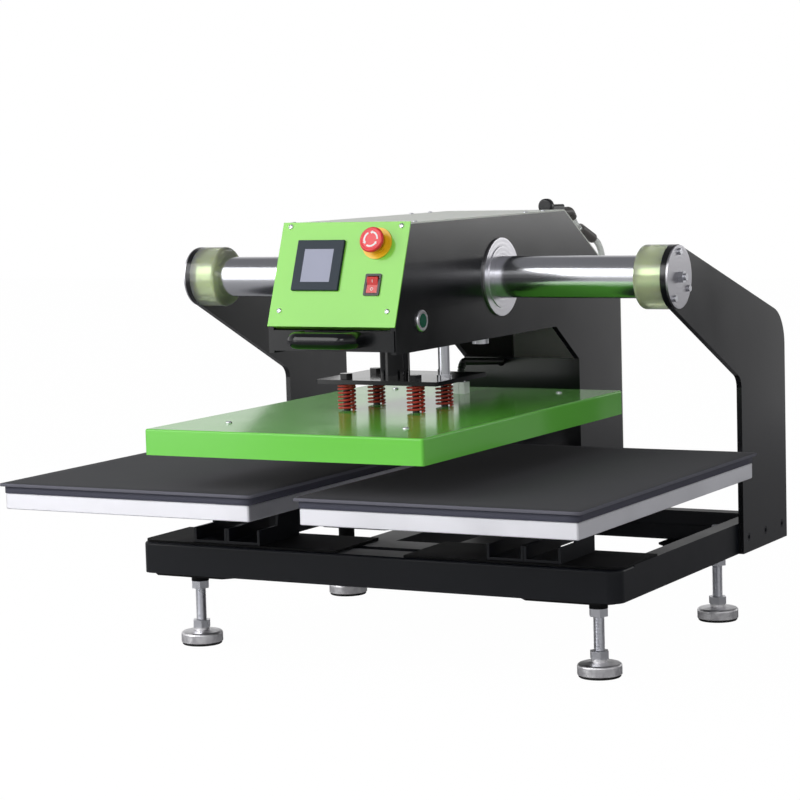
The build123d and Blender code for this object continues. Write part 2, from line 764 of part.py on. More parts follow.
rear_fitting_x = head_x + head_half_w - 39.0
cover_seam = 0.6
power_inlet_x = head_x - head_half_w + 59.0
rear_fitting_z = 455.0
rear_fitting_r = 6.5
with BuildPart() as rear_cover:
    half = cover_t / 2
    slope_cos = math.cos(math.radians(slope_angle))
    seam_shift = (half / slope_cos - half) / slope_tan
    with BuildSketch(Plane.YZ.offset(head_x)):
        with BuildLine():
            FilletPolyline(
                (slope_plate_y + seam_shift + cover_seam, plate_top_z + half - cover_seam * slope_tan),
                (plate_rear + half, rear_knee_z + half / slope_cos - half * slope_tan),
                (plate_rear + half, column_bottom),
                radius=head_rear_r + half,
            )
        trace(line_width=cover_t)
    extrude(amount=head_half_w, both=True)
    with BuildSketch(Plane.XZ.offset(-plate_rear - 2 * cover_t)):
        with Locations((rear_fitting_x, rear_fitting_z)):
            Circle(rear_fitting_r + thread_fit)
        with Locations((power_inlet_x, rear_fitting_z)):
            Circle(gland_r + thread_fit)
    extrude(amount=4 * cover_t, mode=Mode.SUBTRACT)
save(rear_cover, "rear_cover")

conduit_r = 5.6
conduit_exit_x = head_x - head_half_w + 64.0
conduit_exit_z = 392.0
with BuildPart() as column_cover:
    with BuildSketch(Plane.XZ.offset(-column_front)):
        with Locations((head_x, (column_bottom + column_bend_z) / 2 + 4)):
            Rectangle(2 * head_inner, column_bend_z - column_bottom - 8)
    extrude(amount=-cover_t)
    with BuildSketch(Plane.XZ.offset(-column_front)):
        with Locations((conduit_exit_x, conduit_exit_z)):
            Circle(conduit_r + 2)
    extrude(amount=-cover_t, mode=Mode.SUBTRACT)
save(column_cover, "column_cover")

# Foot of the column with two rollers that hold the rail between them
column_foot_t = 10.0
roller_r = 15.0
roller_h = 5.6
roller_pin_r = 5.0
roller_collar = 3.0
roller_ring_t = 1.0
roller_top = beam_top - free_gap
roller_front_y = rail_y - rail_t / 2 - free_gap - roller_r
roller_rear_y = rail_y + rail_t / 2 + free_gap + roller_r
with BuildPart() as column_foot:
    with BuildSketch(Plane.XY.offset(column_bottom)):
        with Locations((head_x, (column_front + cover_t + plate_rear) / 2)):
            Rectangle(2 * head_inner, plate_rear - column_front - cover_t)
    extrude(amount=column_foot_t)
    roller_spots = [(head_x, roller_front_y), (head_x, roller_rear_y)]
    with BuildSketch(Plane.XY.offset(column_bottom)):
        with Locations(*roller_spots):
            Circle(roller_pin_r + roller_collar)
    extrude(amount=-(column_bottom - roller_top - free_gap))
    with BuildSketch(Plane.XY.offset(column_bottom)):
        with Locations(*roller_spots):
            Circle(roller_pin_r)
    extrude(amount=-(column_bottom - roller_top + roller_h + free_gap))
    with BuildSketch(Plane.XY.offset(roller_top - roller_h - free_gap)):
        with Locations(*roller_spots):
            Circle(roller_pin_r + roller_collar)
    extrude(amount=-roller_ring_t)
save(column_foot, "column_foot")

for spot_y, name in ((roller_front_y, "front"), (roller_rear_y, "rear")):
    with BuildPart() as guide_roller:
        with BuildSketch(Plane.XY.offset(roller_top - roller_h)):
            with Locations((head_x, spot_y)):
                Circle(roller_r)
        extrude(amount=roller_h)
        chamfer(guide_roller.edges().filter_by(GeomType.CIRCLE), 0.6)
        with BuildSketch(Plane.XY.offset(roller_top - roller_h)):
            with Locations((head_x, spot_y)):
                Circle(roller_pin_r + running_fit)
        extrude(amount=roller_h, mode=Mode.SUBTRACT)
    save(guide_roller, "guide_roller_" + name)

# Touch screen in the panel
window_x = -33.5 - screen_x
window_t = 85.5 - screen_t
window_w = 46.0
window_h = 47.0
glass_t = 1.0
with BuildPart() as touch_screen:
    with BuildSketch(panel):
        with Locations((screen_x, screen_t)):
            RectangleRounded(bezel_w, bezel_h, 1.2)
    extrude(amount=bezel_t)
    chamfer(touch_screen.faces().sort_by(SortBy.AREA)[-2:].edges().group_by(Axis.Z)[-1], 0.6)
    with BuildSketch(panel):
        with Locations((screen_x, screen_t)):
            Rectangle(screen_body_w, screen_body_h)
    extrude(amount=-26)
    with BuildSketch(panel.offset(bezel_t)):
        with Locations((screen_x + window_x, screen_t + window_t)):
            Rectangle(window_w, window_h)
    extrude(amount=-glass_t - 0.6, mode=Mode.SUBTRACT)
save(touch_screen, "touch_screen")

with BuildPart() as screen_glass:
    with BuildSketch(panel.offset(bezel_t - 0.6)):
        with Locations((screen_x + window_x, screen_t + window_t)):
            Rectangle(window_w, window_h)
    extrude(amount=-glass_t)
save(screen_glass, "screen_glass")

# Emergency stop: ring plate, body, plunger and twist-release cap
estop_ring_r = 22.0
estop_ring_t = 2.0
estop_collar_r = 15.0
estop_collar_t = 4.0
estop_cap_r = 17.8
estop_plunger_r = 7.0
estop_travel = 4.0
estop_depth = 30.0
estop_block = 30.0
estop_block_d = 24.0
estop_well = 18.0
plunger_len = 13.0
stem_len = 6.0
with BuildPart() as estop_ring:
    with BuildSketch(panel):
        with Locations((estop_x, estop_t)):
            Circle(estop_ring_r)
            Circle(estop_barrel_r + thread_fit, mode=Mode.SUBTRACT)
    extrude(amount=estop_ring_t)
    with BuildSketch(panel.offset(estop_ring_t)):
        with Locations((estop_x, estop_t)):
            Circle(estop_collar_r)
            Circle(estop_barrel_r + thread_fit, mode=Mode.SUBTRACT)
    extrude(amount=estop_collar_t)
save(estop_ring, "estop_ring")

with BuildPart() as estop_body:
    with BuildSketch(panel.offset(estop_ring_t + estop_collar_t)):
        with Locations((estop_x, estop_t)):
            Circle(estop_barrel_r)
    extrude(amount=-estop_ring_t - estop_collar_t - estop_depth)
    with BuildSketch(panel.offset(-estop_depth)):
        with Locations((estop_x, estop_t)):
            RectangleRounded(estop_block, estop_block, 2)
    extrude(amount=-estop_block_d)
    with BuildSketch(panel.offset(estop_ring_t + estop_collar_t)):
        with Locations((estop_x, estop_t)):
            Circle(estop_plunger_r + running_fit)
    extrude(amount=-estop_well, mode=Mode.SUBTRACT)
save(estop_body, "estop_body")

cap_bottom = estop_ring_t + estop_collar_t + estop_travel + 0.5
cap_h = 10.0
stem_r = 4.0
with BuildPart() as estop_plunger:
    with BuildSketch(panel.offset(cap_bottom - free_gap)):
        with Locations((estop_x, estop_t)):
            Circle(estop_plunger_r)
    extrude(amount=-plunger_len)
    with BuildSketch(panel.offset(cap_bottom - free_gap)):
        with Locations((estop_x, estop_t)):
            Circle(stem_r)
    extrude(amount=stem_len + free_gap)
save(estop_plunger, "estop_plunger")

with BuildPart() as estop_cap:
    with BuildSketch(panel.offset(cap_bottom)):
        with Locations((estop_x, estop_t)):
            Circle(estop_cap_r)
    extrude(amount=cap_h)
    fillet(estop_cap.edges().filter_by(GeomType.CIRCLE).sort_by(Axis((0, 0, 0), panel.z_dir))[-1], 3.5)
    fillet(estop_cap.edges().filter_by(GeomType.CIRCLE).sort_by(Axis((0, 0, 0), panel.z_dir))[0], 1.5)
    with BuildSketch(panel.offset(cap_bottom)):
        with Locations((estop_x, estop_t)):
            Circle(stem_r + running_fit)
    extrude(amount=stem_len + 2 * free_gap, mode=Mode.SUBTRACT)
save(estop_cap, "estop_cap")

# Mains rocker switch
rocker_bezel_w = 24.0
rocker_bezel_h = 30.6
rocker_w = 16.4
rocker_half = 11.0
rocker_rise = 5.2
rocker_dip = 3.2
rocker_foot = 4.0
rocker_depth = 6.0
rocker_cavity_w = 17.2
rocker_cavity_h = 24.4
rocker_pivot = -2.0
rocker_swing = 8.0
rocker_pin_r = 1.5
rocker_bezel_t = 2.0
rocker_body_d = 22.0
rocker_cavity_d = 14.0
with BuildPart() as rocker_housing:
    with BuildSketch(panel):
        with Locations((rocker_x, rocker_t)):
            RectangleRounded(rocker_bezel_w, rocker_bezel_h, 2)
    extrude(amount=rocker_bezel_t)
    with BuildSketch(panel):
        with Locations((rocker_x, rocker_t)):
            Rectangle(rocker_body_w, rocker_body_h)
    extrude(amount=-rocker_body_d)
    with BuildSketch(panel.offset(rocker_bezel_t)):
        with Locations((rocker_x, rocker_t)):
            Rectangle(rocker_cavity_w, rocker_cavity_h)
    extrude(amount=-rocker_cavity_d, mode=Mode.SUBTRACT)
    pivot_point = panel.from_local_coords((rocker_x, rocker_t, rocker_pivot))
    rocker_side = Plane(origin=pivot_point, x_dir=panel.y_dir, z_dir=panel.x_dir)
    with BuildSketch(rocker_side):
        Circle(rocker_pin_r)
    extrude(amount=rocker_cavity_w / 2, both=True)
save(rocker_housing, "rocker_housing")

rocker_rest = Plane(
    origin=rocker_side.origin,
    x_dir=(rocker_side.x_dir.rotate(Axis((0, 0, 0), rocker_side.z_dir), rocker_swing)),
    z_dir=rocker_side.z_dir,
)
with BuildPart() as power_rocker:
    with BuildSketch(rocker_rest):
        with BuildLine():
            Polyline(
                (-rocker_half, rocker_rise),
                (0, rocker_dip),
                (rocker_half, rocker_rise),
                (rocker_half - 0.4, -1.0),
                (rocker_foot, -rocker_depth),
                (-rocker_foot, -rocker_depth),
                (0.4 - rocker_half, -1.0),
                close=True,
            )
        make_face()
        Circle(rocker_pin_r + running_fit, mode=Mode.SUBTRACT)
    extrude(amount=rocker_w / 2, both=True)
save(power_rocker, "power_rocker")

# Two-hand start buttons on the head's side plates
start_bezel_r = 15.0
start_bezel_t = 3.0
start_cap_r = 9.6
start_well_r = 9.9
start_travel = 2.5
start_stem_r = 3.0
start_depth = 30.0
start_floor = -4.0
start_cap_t = 4.5
start_stem_len = 14.0
start_stem_well = 18.0
with BuildPart() as start_button_bezels:
    for side in (-1, 1):
        with BuildSketch(Plane.YZ.offset(head_x + side * head_half_w)):
            with Locations((start_y, start_z)):
                Circle(start_bezel_r)
        extrude(amount=side * start_bezel_t)
        with BuildSketch(Plane.YZ.offset(head_x + side * head_half_w)):
            with Locations((start_y, start_z)):
                Circle(start_barrel_r)
        extrude(amount=-side * start_depth)
        with BuildSketch(Plane.YZ.offset(head_x + side * (head_half_w + start_floor))):
            with Locations((start_y, start_z)):
                Circle(start_well_r)
        extrude(amount=side * (start_bezel_t - start_floor), mode=Mode.SUBTRACT)
        with BuildSketch(Plane.YZ.offset(head_x + side * (head_half_w + start_floor))):
            with Locations((start_y, start_z)):
                Circle(start_stem_r + running_fit)
        extrude(amount=-side * start_stem_well, mode=Mode.SUBTRACT)
    bezel_rims = start_button_bezels.edges().filter_by(GeomType.CIRCLE)
    wide_rims = [e for e in bezel_rims if e.radius > start_barrel_r + 1]
    fillet([e for e in wide_rims if abs(e.center().X - head_x) > head_half_w + 1], 2.0)
save(start_button_bezels, "start_button_bezels")

for side, name in ((-1, "left"), (1, "right")):
    with BuildPart() as start_button:
        start_x = head_x + side * (head_half_w + start_floor + start_travel + free_gap)
        with BuildSketch(Plane.YZ.offset(start_x)):
            with Locations((start_y, start_z)):
                Circle(start_cap_r)
        extrude(amount=side * start_cap_t)
        with BuildSketch(Plane.YZ.offset(start_x)):
            with Locations((start_y, start_z)):
                Circle(start_stem_r)
        extrude(amount=-side * start_stem_len)
    save(start_button, "start_button_" + name)

# Glands for the earth wire under the head and for the power lead at its back
gland_nut_r = 12.0
gland_nut_t = 8.0
gland_neck = 7.0
gland_bore_r = 3.0
power_bore_r = 4.5
gland_tail = 6.0
with BuildPart() as cable_glands:
    with BuildSketch(Plane.XY.offset(floor_z)):
        with Locations((gland_x, gland_y)):
            Circle(gland_r)
            Circle(gland_bore_r, mode=Mode.SUBTRACT)
    extrude(amount=floor_t + gland_tail)
    with BuildSketch(Plane.XY.offset(floor_z)):
        with Locations((gland_x, gland_y)):
            Circle(gland_r)
            Circle(gland_bore_r, mode=Mode.SUBTRACT)
    extrude(amount=-gland_neck)
    with BuildSketch(Plane.XY.offset(floor_z - gland_neck)):
        with Locations((gland_x, gland_y)):
            Circle(gland_nut_r)
            Circle(gland_bore_r, mode=Mode.SUBTRACT)
    extrude(amount=-gland_nut_t)
    with BuildSketch(Plane.XZ.offset(-head_rear)):
        with Locations((power_inlet_x, rear_fitting_z)):
            RegularPolygon(gland_nut_r, 6, major_radius=False)
            Circle(power_bore_r, mode=Mode.SUBTRACT)
    extrude(amount=-gland_nut_t)
    with BuildSketch(Plane.XZ.offset(-head_rear)):
        with Locations((power_inlet_x, rear_fitting_z)):
            Circle(gland_r)
            Circle(power_bore_r, mode=Mode.SUBTRACT)
    extrude(amount=cover_t + gland_tail)
save(cable_glands, "cable_glands")

# Air regulator on a bracket on the sloped cover, with its knob
air_x = head_x + head_half_w - 39.0
knob_y = front_y + 684.0
knob_z = head_top + 4.7
knob_r = 11.5
knob_len = 10.0
knob_stem_r = 3.0
knob_stem_len = 6.0
regulator_front = knob_y + knob_len / 2 + free_gap
regulator_len = 40.0
regulator_w = 20.0
regulator_h = 18.0
regulator_top = head_top + 6.5
bracket_w = 8.0
bracket_start = 6.0
bracket_len = 26.0


def slope_z(y):
    return head_top - (y - slope_top_y) * slope_tan


with BuildPart() as air_regulator:
    with BuildSketch(Plane.XZ.offset(-regulator_front)):
        with Locations((air_x, regulator_top - regulator_h / 2)):
            RectangleRounded(regulator_w, regulator_h, 3)
    extrude(amount=-regulator_len)
    with BuildSketch(Plane.YZ.offset(air_x)):
        foot_a = regulator_front + bracket_start
        foot_b = foot_a + bracket_len
        with BuildLine():
            Polyline(
                (foot_a, slope_z(foot_a) + running_fit),
                (foot_a, regulator_top - regulator_h / 2),
                (foot_b, regulator_top - regulator_h / 2),
                (foot_b, slope_z(foot_b) + running_fit),
                close=True,
            )
        make_face()
    extrude(amount=bracket_w / 2, both=True)
    with BuildSketch(Plane.XZ.offset(-regulator_front)):
        with Locations((air_x, knob_z)):
            Circle(knob_stem_r)
    extrude(amount=knob_stem_len)
save(air_regulator, "air_regulator")

with BuildPart() as regulator_knob:
    with BuildSketch(Plane.XZ.offset(-regulator_front + free_gap)):
        with Locations((air_x, knob_z)):
            Circle(knob_r)
    extrude(amount=knob_len)
    fillet(regulator_knob.edges().filter_by(GeomType.CIRCLE).group_by(Axis.Y)[0], 3.0)
    with BuildSketch(Plane.XZ.offset(-regulator_front + free_gap)):
        with Locations((air_x, knob_z)):
            Circle(knob_stem_r + running_fit)
    extrude(amount=knob_stem_len + free_gap, mode=Mode.SUBTRACT)
save(regulator_knob, "regulator_knob")

# Air line: elbow on the regulator, clear hose, union, and hose down to the rear inlet
elbow_r = 7.5
hose_r = 5.0
union_r = 8.0
union_len = 50.0
elbow_fall = 45.0
union_fall = 20.0
elbow_arm = 14.0
elbow_z = head_top - 6.0
elbow_start = regulator_front + regulator_len
elbow_corner_y = elbow_start + 39.0
rear_elbow_y = head_rear + 20.0
rear_elbow_top = rear_fitting_z + 16.0
steep = math.radians(elbow_fall)
gentle = math.radians(union_fall)
elbow_out = (air_x, elbow_corner_y + elbow_arm * math.cos(steep), elbow_z - elbow_arm * math.sin(steep))
hose_turn = (air_x, elbow_out[1] + 13.0, elbow_out[2] - 13.0 * math.tan(steep))
union_in = (air_x, hose_turn[1] + 14.0, hose_turn[2] - 14.0 * math.tan(gentle))
union_out = (air_x, union_in[1] + union_len * math.cos(gentle), union_in[2] - union_len * math.sin(gentle))
elbow_points = [(air_x, elbow_start, elbow_z), (air_x, elbow_corner_y, elbow_z), elbow_out]
hose_points = [
    union_out,
    (air_x, union_out[1] + 20.0, union_out[2] - 20.0 * math.tan(gentle)),
    (air_x, head_rear + 15.0, elbow_z - 67.5),
    (air_x, head_rear + 22.0, elbow_z - 89.5),
    (air_x, rear_elbow_y, elbow_z - 118.5),
    (air_x, rear_elbow_y, rear_elbow_top),
]


def tube_along(points, radius):
    runs = [Vector(*points[i + 1]) - Vector(*points[i]) for i in range(len(points) - 1)]
    turns = [runs[i].get_angle(runs[i + 1]) for i in range(len(runs) - 1)]
    radii = [
        0.45 * min(runs[i].length, runs[i + 1].length) / math.tan(math.radians(turns[i]) / 2)
        for i in range(len(turns))
    ]
    print("bend radii", [round(r, 1) for r in radii])
    with BuildPart() as tube:
        with BuildLine() as route:
            if radii:
                FilletPolyline(*points, radius=radii)
            else:
                Line(*points)
        with BuildSketch(Plane(origin=points[0], z_dir=runs[0])):
            Circle(radius)
        sweep(path=route.wires()[0])
    length = route.wires()[0].length
    share = tube.part.volume / (math.pi * radius**2 * length)
    print("length", round(length, 1), "volume share", round(share, 4))
    return tube.part


short_hose = tube_along([elbow_out, hose_turn, union_in], hose_r)
long_hose = tube_along(hose_points, hose_r)
with BuildPart() as air_hose:
    add(short_hose)
    add(long_hose)
save(air_hose, "air_hose")

elbow_body = tube_along(elbow_points, elbow_r)
union_body = tube_along([union_in, union_out], union_r)
with BuildPart() as air_fittings:
    add(elbow_body)
    add(union_body)
    with BuildSketch(Plane.XZ.offset(-head_rear)):
        with Locations((rear_fitting_x, rear_fitting_z)):
            Circle(union_r)
    extrude(amount=-(rear_elbow_y - head_rear + union_r))
    with BuildSketch(Plane.XZ.offset(-head_rear)):
        with Locations((rear_fitting_x, rear_fitting_z)):
            Circle(rear_fitting_r)
    extrude(amount=cover_t + gland_tail)
    with BuildSketch(Plane.XY.offset(rear_fitting_z)):
        with Locations((rear_fitting_x, rear_elbow_y)):
            Circle(union_r)
    extrude(amount=rear_elbow_top - rear_fitting_z)
save(air_fittings, "air_fittings")

# Dome screws that hold the panel and the top cover
dome_head_r = 3.6
dome_head_t = 1.8
panel_screw_len = 5.0
with BuildPart() as head_screws:
    with BuildSketch(panel):
        with Locations(*panel_screws):
            Circle(dome_head_r)
    extrude(amount=dome_head_t)
    with BuildSketch(panel):
        with Locations(*panel_screws):
            Circle(panel_screw_r)
    extrude(amount=-cover_t - panel_screw_len)
    for side in (-1, 1):
        for y in cover_screw_ys:
            with BuildSketch(Plane.XY.offset(head_top)):
                with Locations((head_x + side * cover_screw_x, y)):
                    Circle(dome_head_r)
            extrude(amount=dome_head_t)
            with BuildSketch(Plane.XY.offset(head_top)):
                with Locations((head_x + side * cover_screw_x, y)):
                    Circle(cover_screw_r)
            extrude(amount=-cover_t - cover_screw_len)
    rims = head_screws.edges().filter_by(GeomType.CIRCLE)
    fillet([e for e in rims if abs(e.radius - dome_head_r) < 0.01 and e.center().Z > head_top + 1], 1.4)
save(head_screws, "head_screws")

# Press ram: piston and rod, hub, spring plate and guide rod
piston_t = 12.0
rod_seat = 14.0
rod_nut_r = 18.0
rod_nut_t = 7.0
piston_top = cylinder_z + cylinder_h - cylinder_end - 2
with BuildPart() as piston_rod:
    with BuildSketch(Plane.XY.offset(piston_top)):
        with Locations((head_x, hub_y)):
            Circle(cylinder_bore_r - running_fit)
    extrude(amount=-piston_t)
    with BuildSketch(Plane.XY.offset(piston_top - piston_t)):
        with Locations((head_x, hub_y)):
            Circle(rod_r)
    extrude(amount=-(piston_top - piston_t - hub_top + rod_seat))
    with BuildSketch(Plane.XY.offset(hub_top)):
        with Locations((head_x, hub_y)):
            Circle(rod_nut_r)
    extrude(amount=rod_nut_t)
save(piston_rod, "piston_rod")

spring_xs = [head_x - spring_dx / 2, head_x + spring_dx / 2]
spring_points = [(x, hub_y + side * spring_dy / 2) for x in spring_xs for side in (-1, 1)]
with BuildPart() as spring_plate:
    with BuildSketch(Plane.XY.offset(spring_plate_z)):
        with Locations((head_x, (spring_plate_front + spring_plate_rear) / 2)):
            RectangleRounded(spring_plate_w, spring_plate_rear - spring_plate_front, 4)
        with Locations(*spring_points):
            Circle(bolt_r + running_fit, mode=Mode.SUBTRACT)
    extrude(amount=spring_plate_t)
    with BuildSketch(Plane.XY.offset(spring_plate_z + spring_plate_t)):
        with Locations((head_x, hub_y)):
            Circle(hub_r)
    extrude(amount=hub_top - spring_plate_z - spring_plate_t)
    fillet(spring_plate.edges().group_by(Axis.Z)[-1], 3.0)
    with BuildSketch(Plane.XY.offset(hub_top)):
        with Locations((head_x, hub_y)):
            Circle(rod_r + thread_fit)
    extrude(amount=-rod_seat, mode=Mode.SUBTRACT)
save(spring_plate, "spring_plate")

guide_rod_top = floor_z + floor_t + 62
with BuildPart() as guide_rod:
    with BuildSketch(Plane.XY.offset(spring_plate_z + spring_plate_t)):
        with Locations((guide_rod_x, hub_y)):
            Circle(guide_rod_r)
    extrude(amount=guide_rod_top - spring_plate_z - spring_plate_t)
    with BuildSketch(Plane.XY.offset(spring_plate_z + spring_plate_t)):
        with Locations((guide_rod_x, hub_y)):
            Circle(guide_rod_r + 2.5)
    extrude(amount=5)
save(guide_rod, "guide_rod")

# Upper plate: sheet cover, insulation and the aluminium heat plate
cover_y = plate_y
screw_cover_x = 137.0
screw_cover_ys = [plate_y - cover_d / 2 + 93.0, plate_y + cover_d / 2 - 60.0]
with BuildPart() as platen_cover:
    with BuildSketch(Plane.XY.offset(cover_z)):
        with Locations((head_x, cover_y)):
            RectangleRounded(cover_w, cover_d, 4)
    extrude(amount=cover_h)
    fillet(platen_cover.faces().sort_by(Axis.Z)[-1].edges(), 2.5)
    with BuildSketch(Plane.XY.offset(cover_z)):
        with Locations((head_x, cover_y)):
            RectangleRounded(cover_w - 2 * cover_wall, cover_d - 2 * cover_wall, 2.5)
    extrude(amount=cover_h - cover_wall, mode=Mode.SUBTRACT)
    with BuildSketch(Plane.XY.offset(cover_top)):
        with Locations(*spring_points):
            Circle(bolt_r + thread_fit)
        with Locations(*[(head_x + s * screw_cover_x, y) for s in (-1, 1) for y in screw_cover_ys]):
            Circle(screw_m8_r / 2 + thread_fit)
    extrude(amount=-cover_wall, mode=Mode.SUBTRACT)
save(platen_cover, "platen_cover")

heat_top = heat_plate_z + heat_plate_t
with BuildPart() as heat_plate:
    with BuildSketch(Plane.XY.offset(heat_plate_z)):
        with Locations((head_x, cover_y)):
            RectangleRounded(plate_w, plate_d, plate_corner_r)
    extrude(amount=heat_plate_t)
    chamfer(heat_plate.faces().sort_by(Axis.Z)[0].edges(), plate_edge)
    with BuildSketch(Plane.XY.offset(heat_top)):
        with Locations(*spring_points):
            Circle(bolt_r + thread_fit)
    extrude(amount=-12, mode=Mode.SUBTRACT)
save(heat_plate, "heat_plate")

with BuildPart() as insulation:
    with BuildSketch(Plane.XY.offset(heat_top)):
        with Locations((head_x, cover_y)):
            RectangleRounded(cover_w - 2 * cover_wall - 1, cover_d - 2 * cover_wall - 1, 2.0)
        with Locations(*spring_points):
            Circle(bolt_r + thread_fit, mode=Mode.SUBTRACT)
        with Locations(*[(head_x + s * screw_cover_x, y) for s in (-1, 1) for y in screw_cover_ys]):
            Circle(screw_m8_r / 2 + thread_fit, mode=Mode.SUBTRACT)
    extrude(amount=cover_top - cover_wall - heat_top)
save(insulation, "insulation")

with BuildPart() as platen_screws:
    for s in (-1, 1):
        for y in screw_cover_ys:
            with Locations((head_x + s * screw_cover_x, y, cover_top)):
                Cylinder(4.5, 2.6, align=(Align.CENTER, Align.CENTER, Align.MIN))
            with Locations((head_x + s * screw_cover_x, y, cover_top)):
                Cylinder(screw_m8_r / 2, 12, align=(Align.CENTER, Align.CENTER, Align.MAX))
    fillet(platen_screws.faces().group_by(Axis.Z)[-1].edges(), 1.8)
save(platen_screws, "platen_screws")

bolt_head_z = spring_plate_z + spring_plate_t + 0.2
with BuildPart() as spring_bolts:
    with BuildSketch(Plane.XY.offset(bolt_head_z)):
        with Locations(*spring_points):
            RegularPolygon(8.5, 6, major_radius=False)
    extrude(amount=8)
    with BuildSketch(Plane.XY.offset(bolt_head_z)):
        with Locations(*spring_points):
            Circle(bolt_r)
    extrude(amount=-(bolt_head_z - heat_top + 11))
save(spring_bolts, "spring_bolts")

block_x = head_x - 6.0
block_y = plate_y + cover_d / 2 - 95.0
block_h = 17.0
with BuildPart() as terminal_block:
    with BuildSketch(Plane.XY.offset(cover_top)):
        with Locations((block_x, block_y)):
            with GridLocations(10, 0, 2, 1):
                RectangleRounded(9.6, 17, 1)
    extrude(amount=block_h)
    with BuildSketch(Plane.XY.offset(cover_top)):
        with Locations((block_x, block_y)):
            Rectangle(12, 12)
    extrude(amount=block_h - 4)
save(terminal_block, "terminal_block")

# Red press springs: round wire wound round the bolts, closer at both ends
end_turn_rise = 3.8
wind_turns = 7
steps_per_turn = 4


def coil_height(turn):
    first = spring_wire / 2 + 0.3
    total = spring_plate_z - cover_top - 2 * first
    middle = (total - 2 * end_turn_rise) / (wind_turns - 2)
    if turn <= 1:
        return first + turn * end_turn_rise
    if turn <= wind_turns - 1:
        return first + end_turn_rise + (turn - 1) * middle
    return first + total - (wind_turns - turn) * end_turn_rise


def coil_point(turn, radius):
    angle = 2 * math.pi * turn
    return Vector(radius * math.cos(angle), radius * math.sin(angle), coil_height(turn))


def coil_tangent(turn, radius):
    step = 1e-4
    before = max(turn - step, 0)
    after = min(turn + step, wind_turns)
    return (coil_point(after, radius) - coil_point(before, radius)).normalized()


def biarc(start, start_dir, end, end_dir):
    chord = end - start
    dirs = start_dir + end_dir
    denom = 2 * (1 - start_dir.dot(end_dir))
    reach = (-chord.dot(dirs) + math.sqrt(chord.dot(dirs) ** 2 + denom * chord.dot(chord))) / denom
    middle = (start + end + (start_dir - end_dir) * reach) * 0.5
    middle_dir = (end - end_dir * reach) - (start + start_dir * reach)
    return middle, middle_dir.normalized()


wire_mean_r = spring_r - spring_wire / 2
with BuildPart() as one_spring:
    with BuildLine() as coil:
        first_dir = coil_tangent(0, wire_mean_r)
        start_point = coil_point(0, wire_mean_r)
        Line(start_point - first_dir * spring_wire, start_point)
        for i in range(wind_turns * steps_per_turn):
            a = i / steps_per_turn
            b = (i + 1) / steps_per_turn
            pa, pb = coil_point(a, wire_mean_r), coil_point(b, wire_mean_r)
            ta, tb = coil_tangent(a, wire_mean_r), coil_tangent(b, wire_mean_r)
            pm, tm = biarc(pa, ta, pb, tb)
            TangentArc(pa, pm, tangent=ta)
            TangentArc(pm, pb, tangent=tm)
        last_dir = coil_tangent(wind_turns, wire_mean_r)
        end_point = coil_point(wind_turns, wire_mean_r)
        Line(end_point, end_point + last_dir * spring_wire)
    with BuildSketch(Plane(origin=start_point - first_dir * spring_wire, z_dir=first_dir)):
        Circle(spring_wire / 2)
    sweep(path=coil.wires()[0])
spring_wire_line = coil.wires()[0]
wire_len = spring_wire_line.length
gap_steps = 600
wire_points = [spring_wire_line.position_at(i / gap_steps) for i in range(gap_steps + 1)]
turn_steps = int(gap_steps / (wind_turns + 1) / 2)
least_gap = min(
    (wire_points[i] - wire_points[j]).length
    for i in range(gap_steps + 1)
    for j in range(i + turn_steps, gap_steps + 1)
)
print("spring volume", round(one_spring.part.volume, 1), "wire length", round(wire_len, 1))
print("least gap of the spring to itself", round(least_gap - spring_wire, 2))
with BuildPart() as press_springs:
    with Locations(*[(x, y, cover_top) for x, y in spring_points]):
        add(one_spring.part)
save(press_springs, "press_springs")

# Corrugated conduit from the terminal block into the column
conduit_top = 409.0
conduit_points = [
    (block_x, block_y, cover_top + block_h),
    (block_x, block_y, conduit_top),
    (conduit_exit_x, column_front + cover_t, conduit_exit_z),
]
conduit_bend = 18.0
conduit_bore_r = 3.6
rib_pitch = 4.0
rib_depth = 1.1
with BuildLine() as conduit_line:
    FilletPolyline(*conduit_points, radius=conduit_bend)
conduit_wire = conduit_line.wires()[0]
conduit_len = conduit_wire.length
ribs = int((conduit_len - 2 * conduit_r) / rib_pitch)
straight = (conduit_len - ribs * rib_pitch) / 2
with BuildPart() as conduit:
    stations_along = [(0.0, conduit_r - rib_depth)]
    for i in range(ribs):
        at = straight + i * rib_pitch
        stations_along += [
            (at + 0.15 * rib_pitch, conduit_r - rib_depth),
            (at + 0.35 * rib_pitch, conduit_r),
            (at + 0.70 * rib_pitch, conduit_r),
            (at + 0.90 * rib_pitch, conduit_r - rib_depth),
        ]
    stations_along.append((conduit_len, conduit_r - rib_depth))
    for at, radius in stations_along:
        here = conduit_wire.position_at(at / conduit_len)
        along = conduit_wire.tangent_at(at / conduit_len)
        with BuildSketch(Plane(origin=here, x_dir=(1, 0, 0), z_dir=along)):
            Circle(radius)
    loft(ruled=True)
    with BuildSketch(Plane(origin=conduit_points[0], z_dir=(0, 0, 1))):
        Circle(conduit_bore_r)
    sweep(path=conduit_wire, mode=Mode.SUBTRACT)
save(conduit, "conduit")
print("conduit length", round(conduit_len, 1), "ribs", ribs)
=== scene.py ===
import json
import math

import bmesh
import bpy
from mathutils import Matrix, Vector, noise

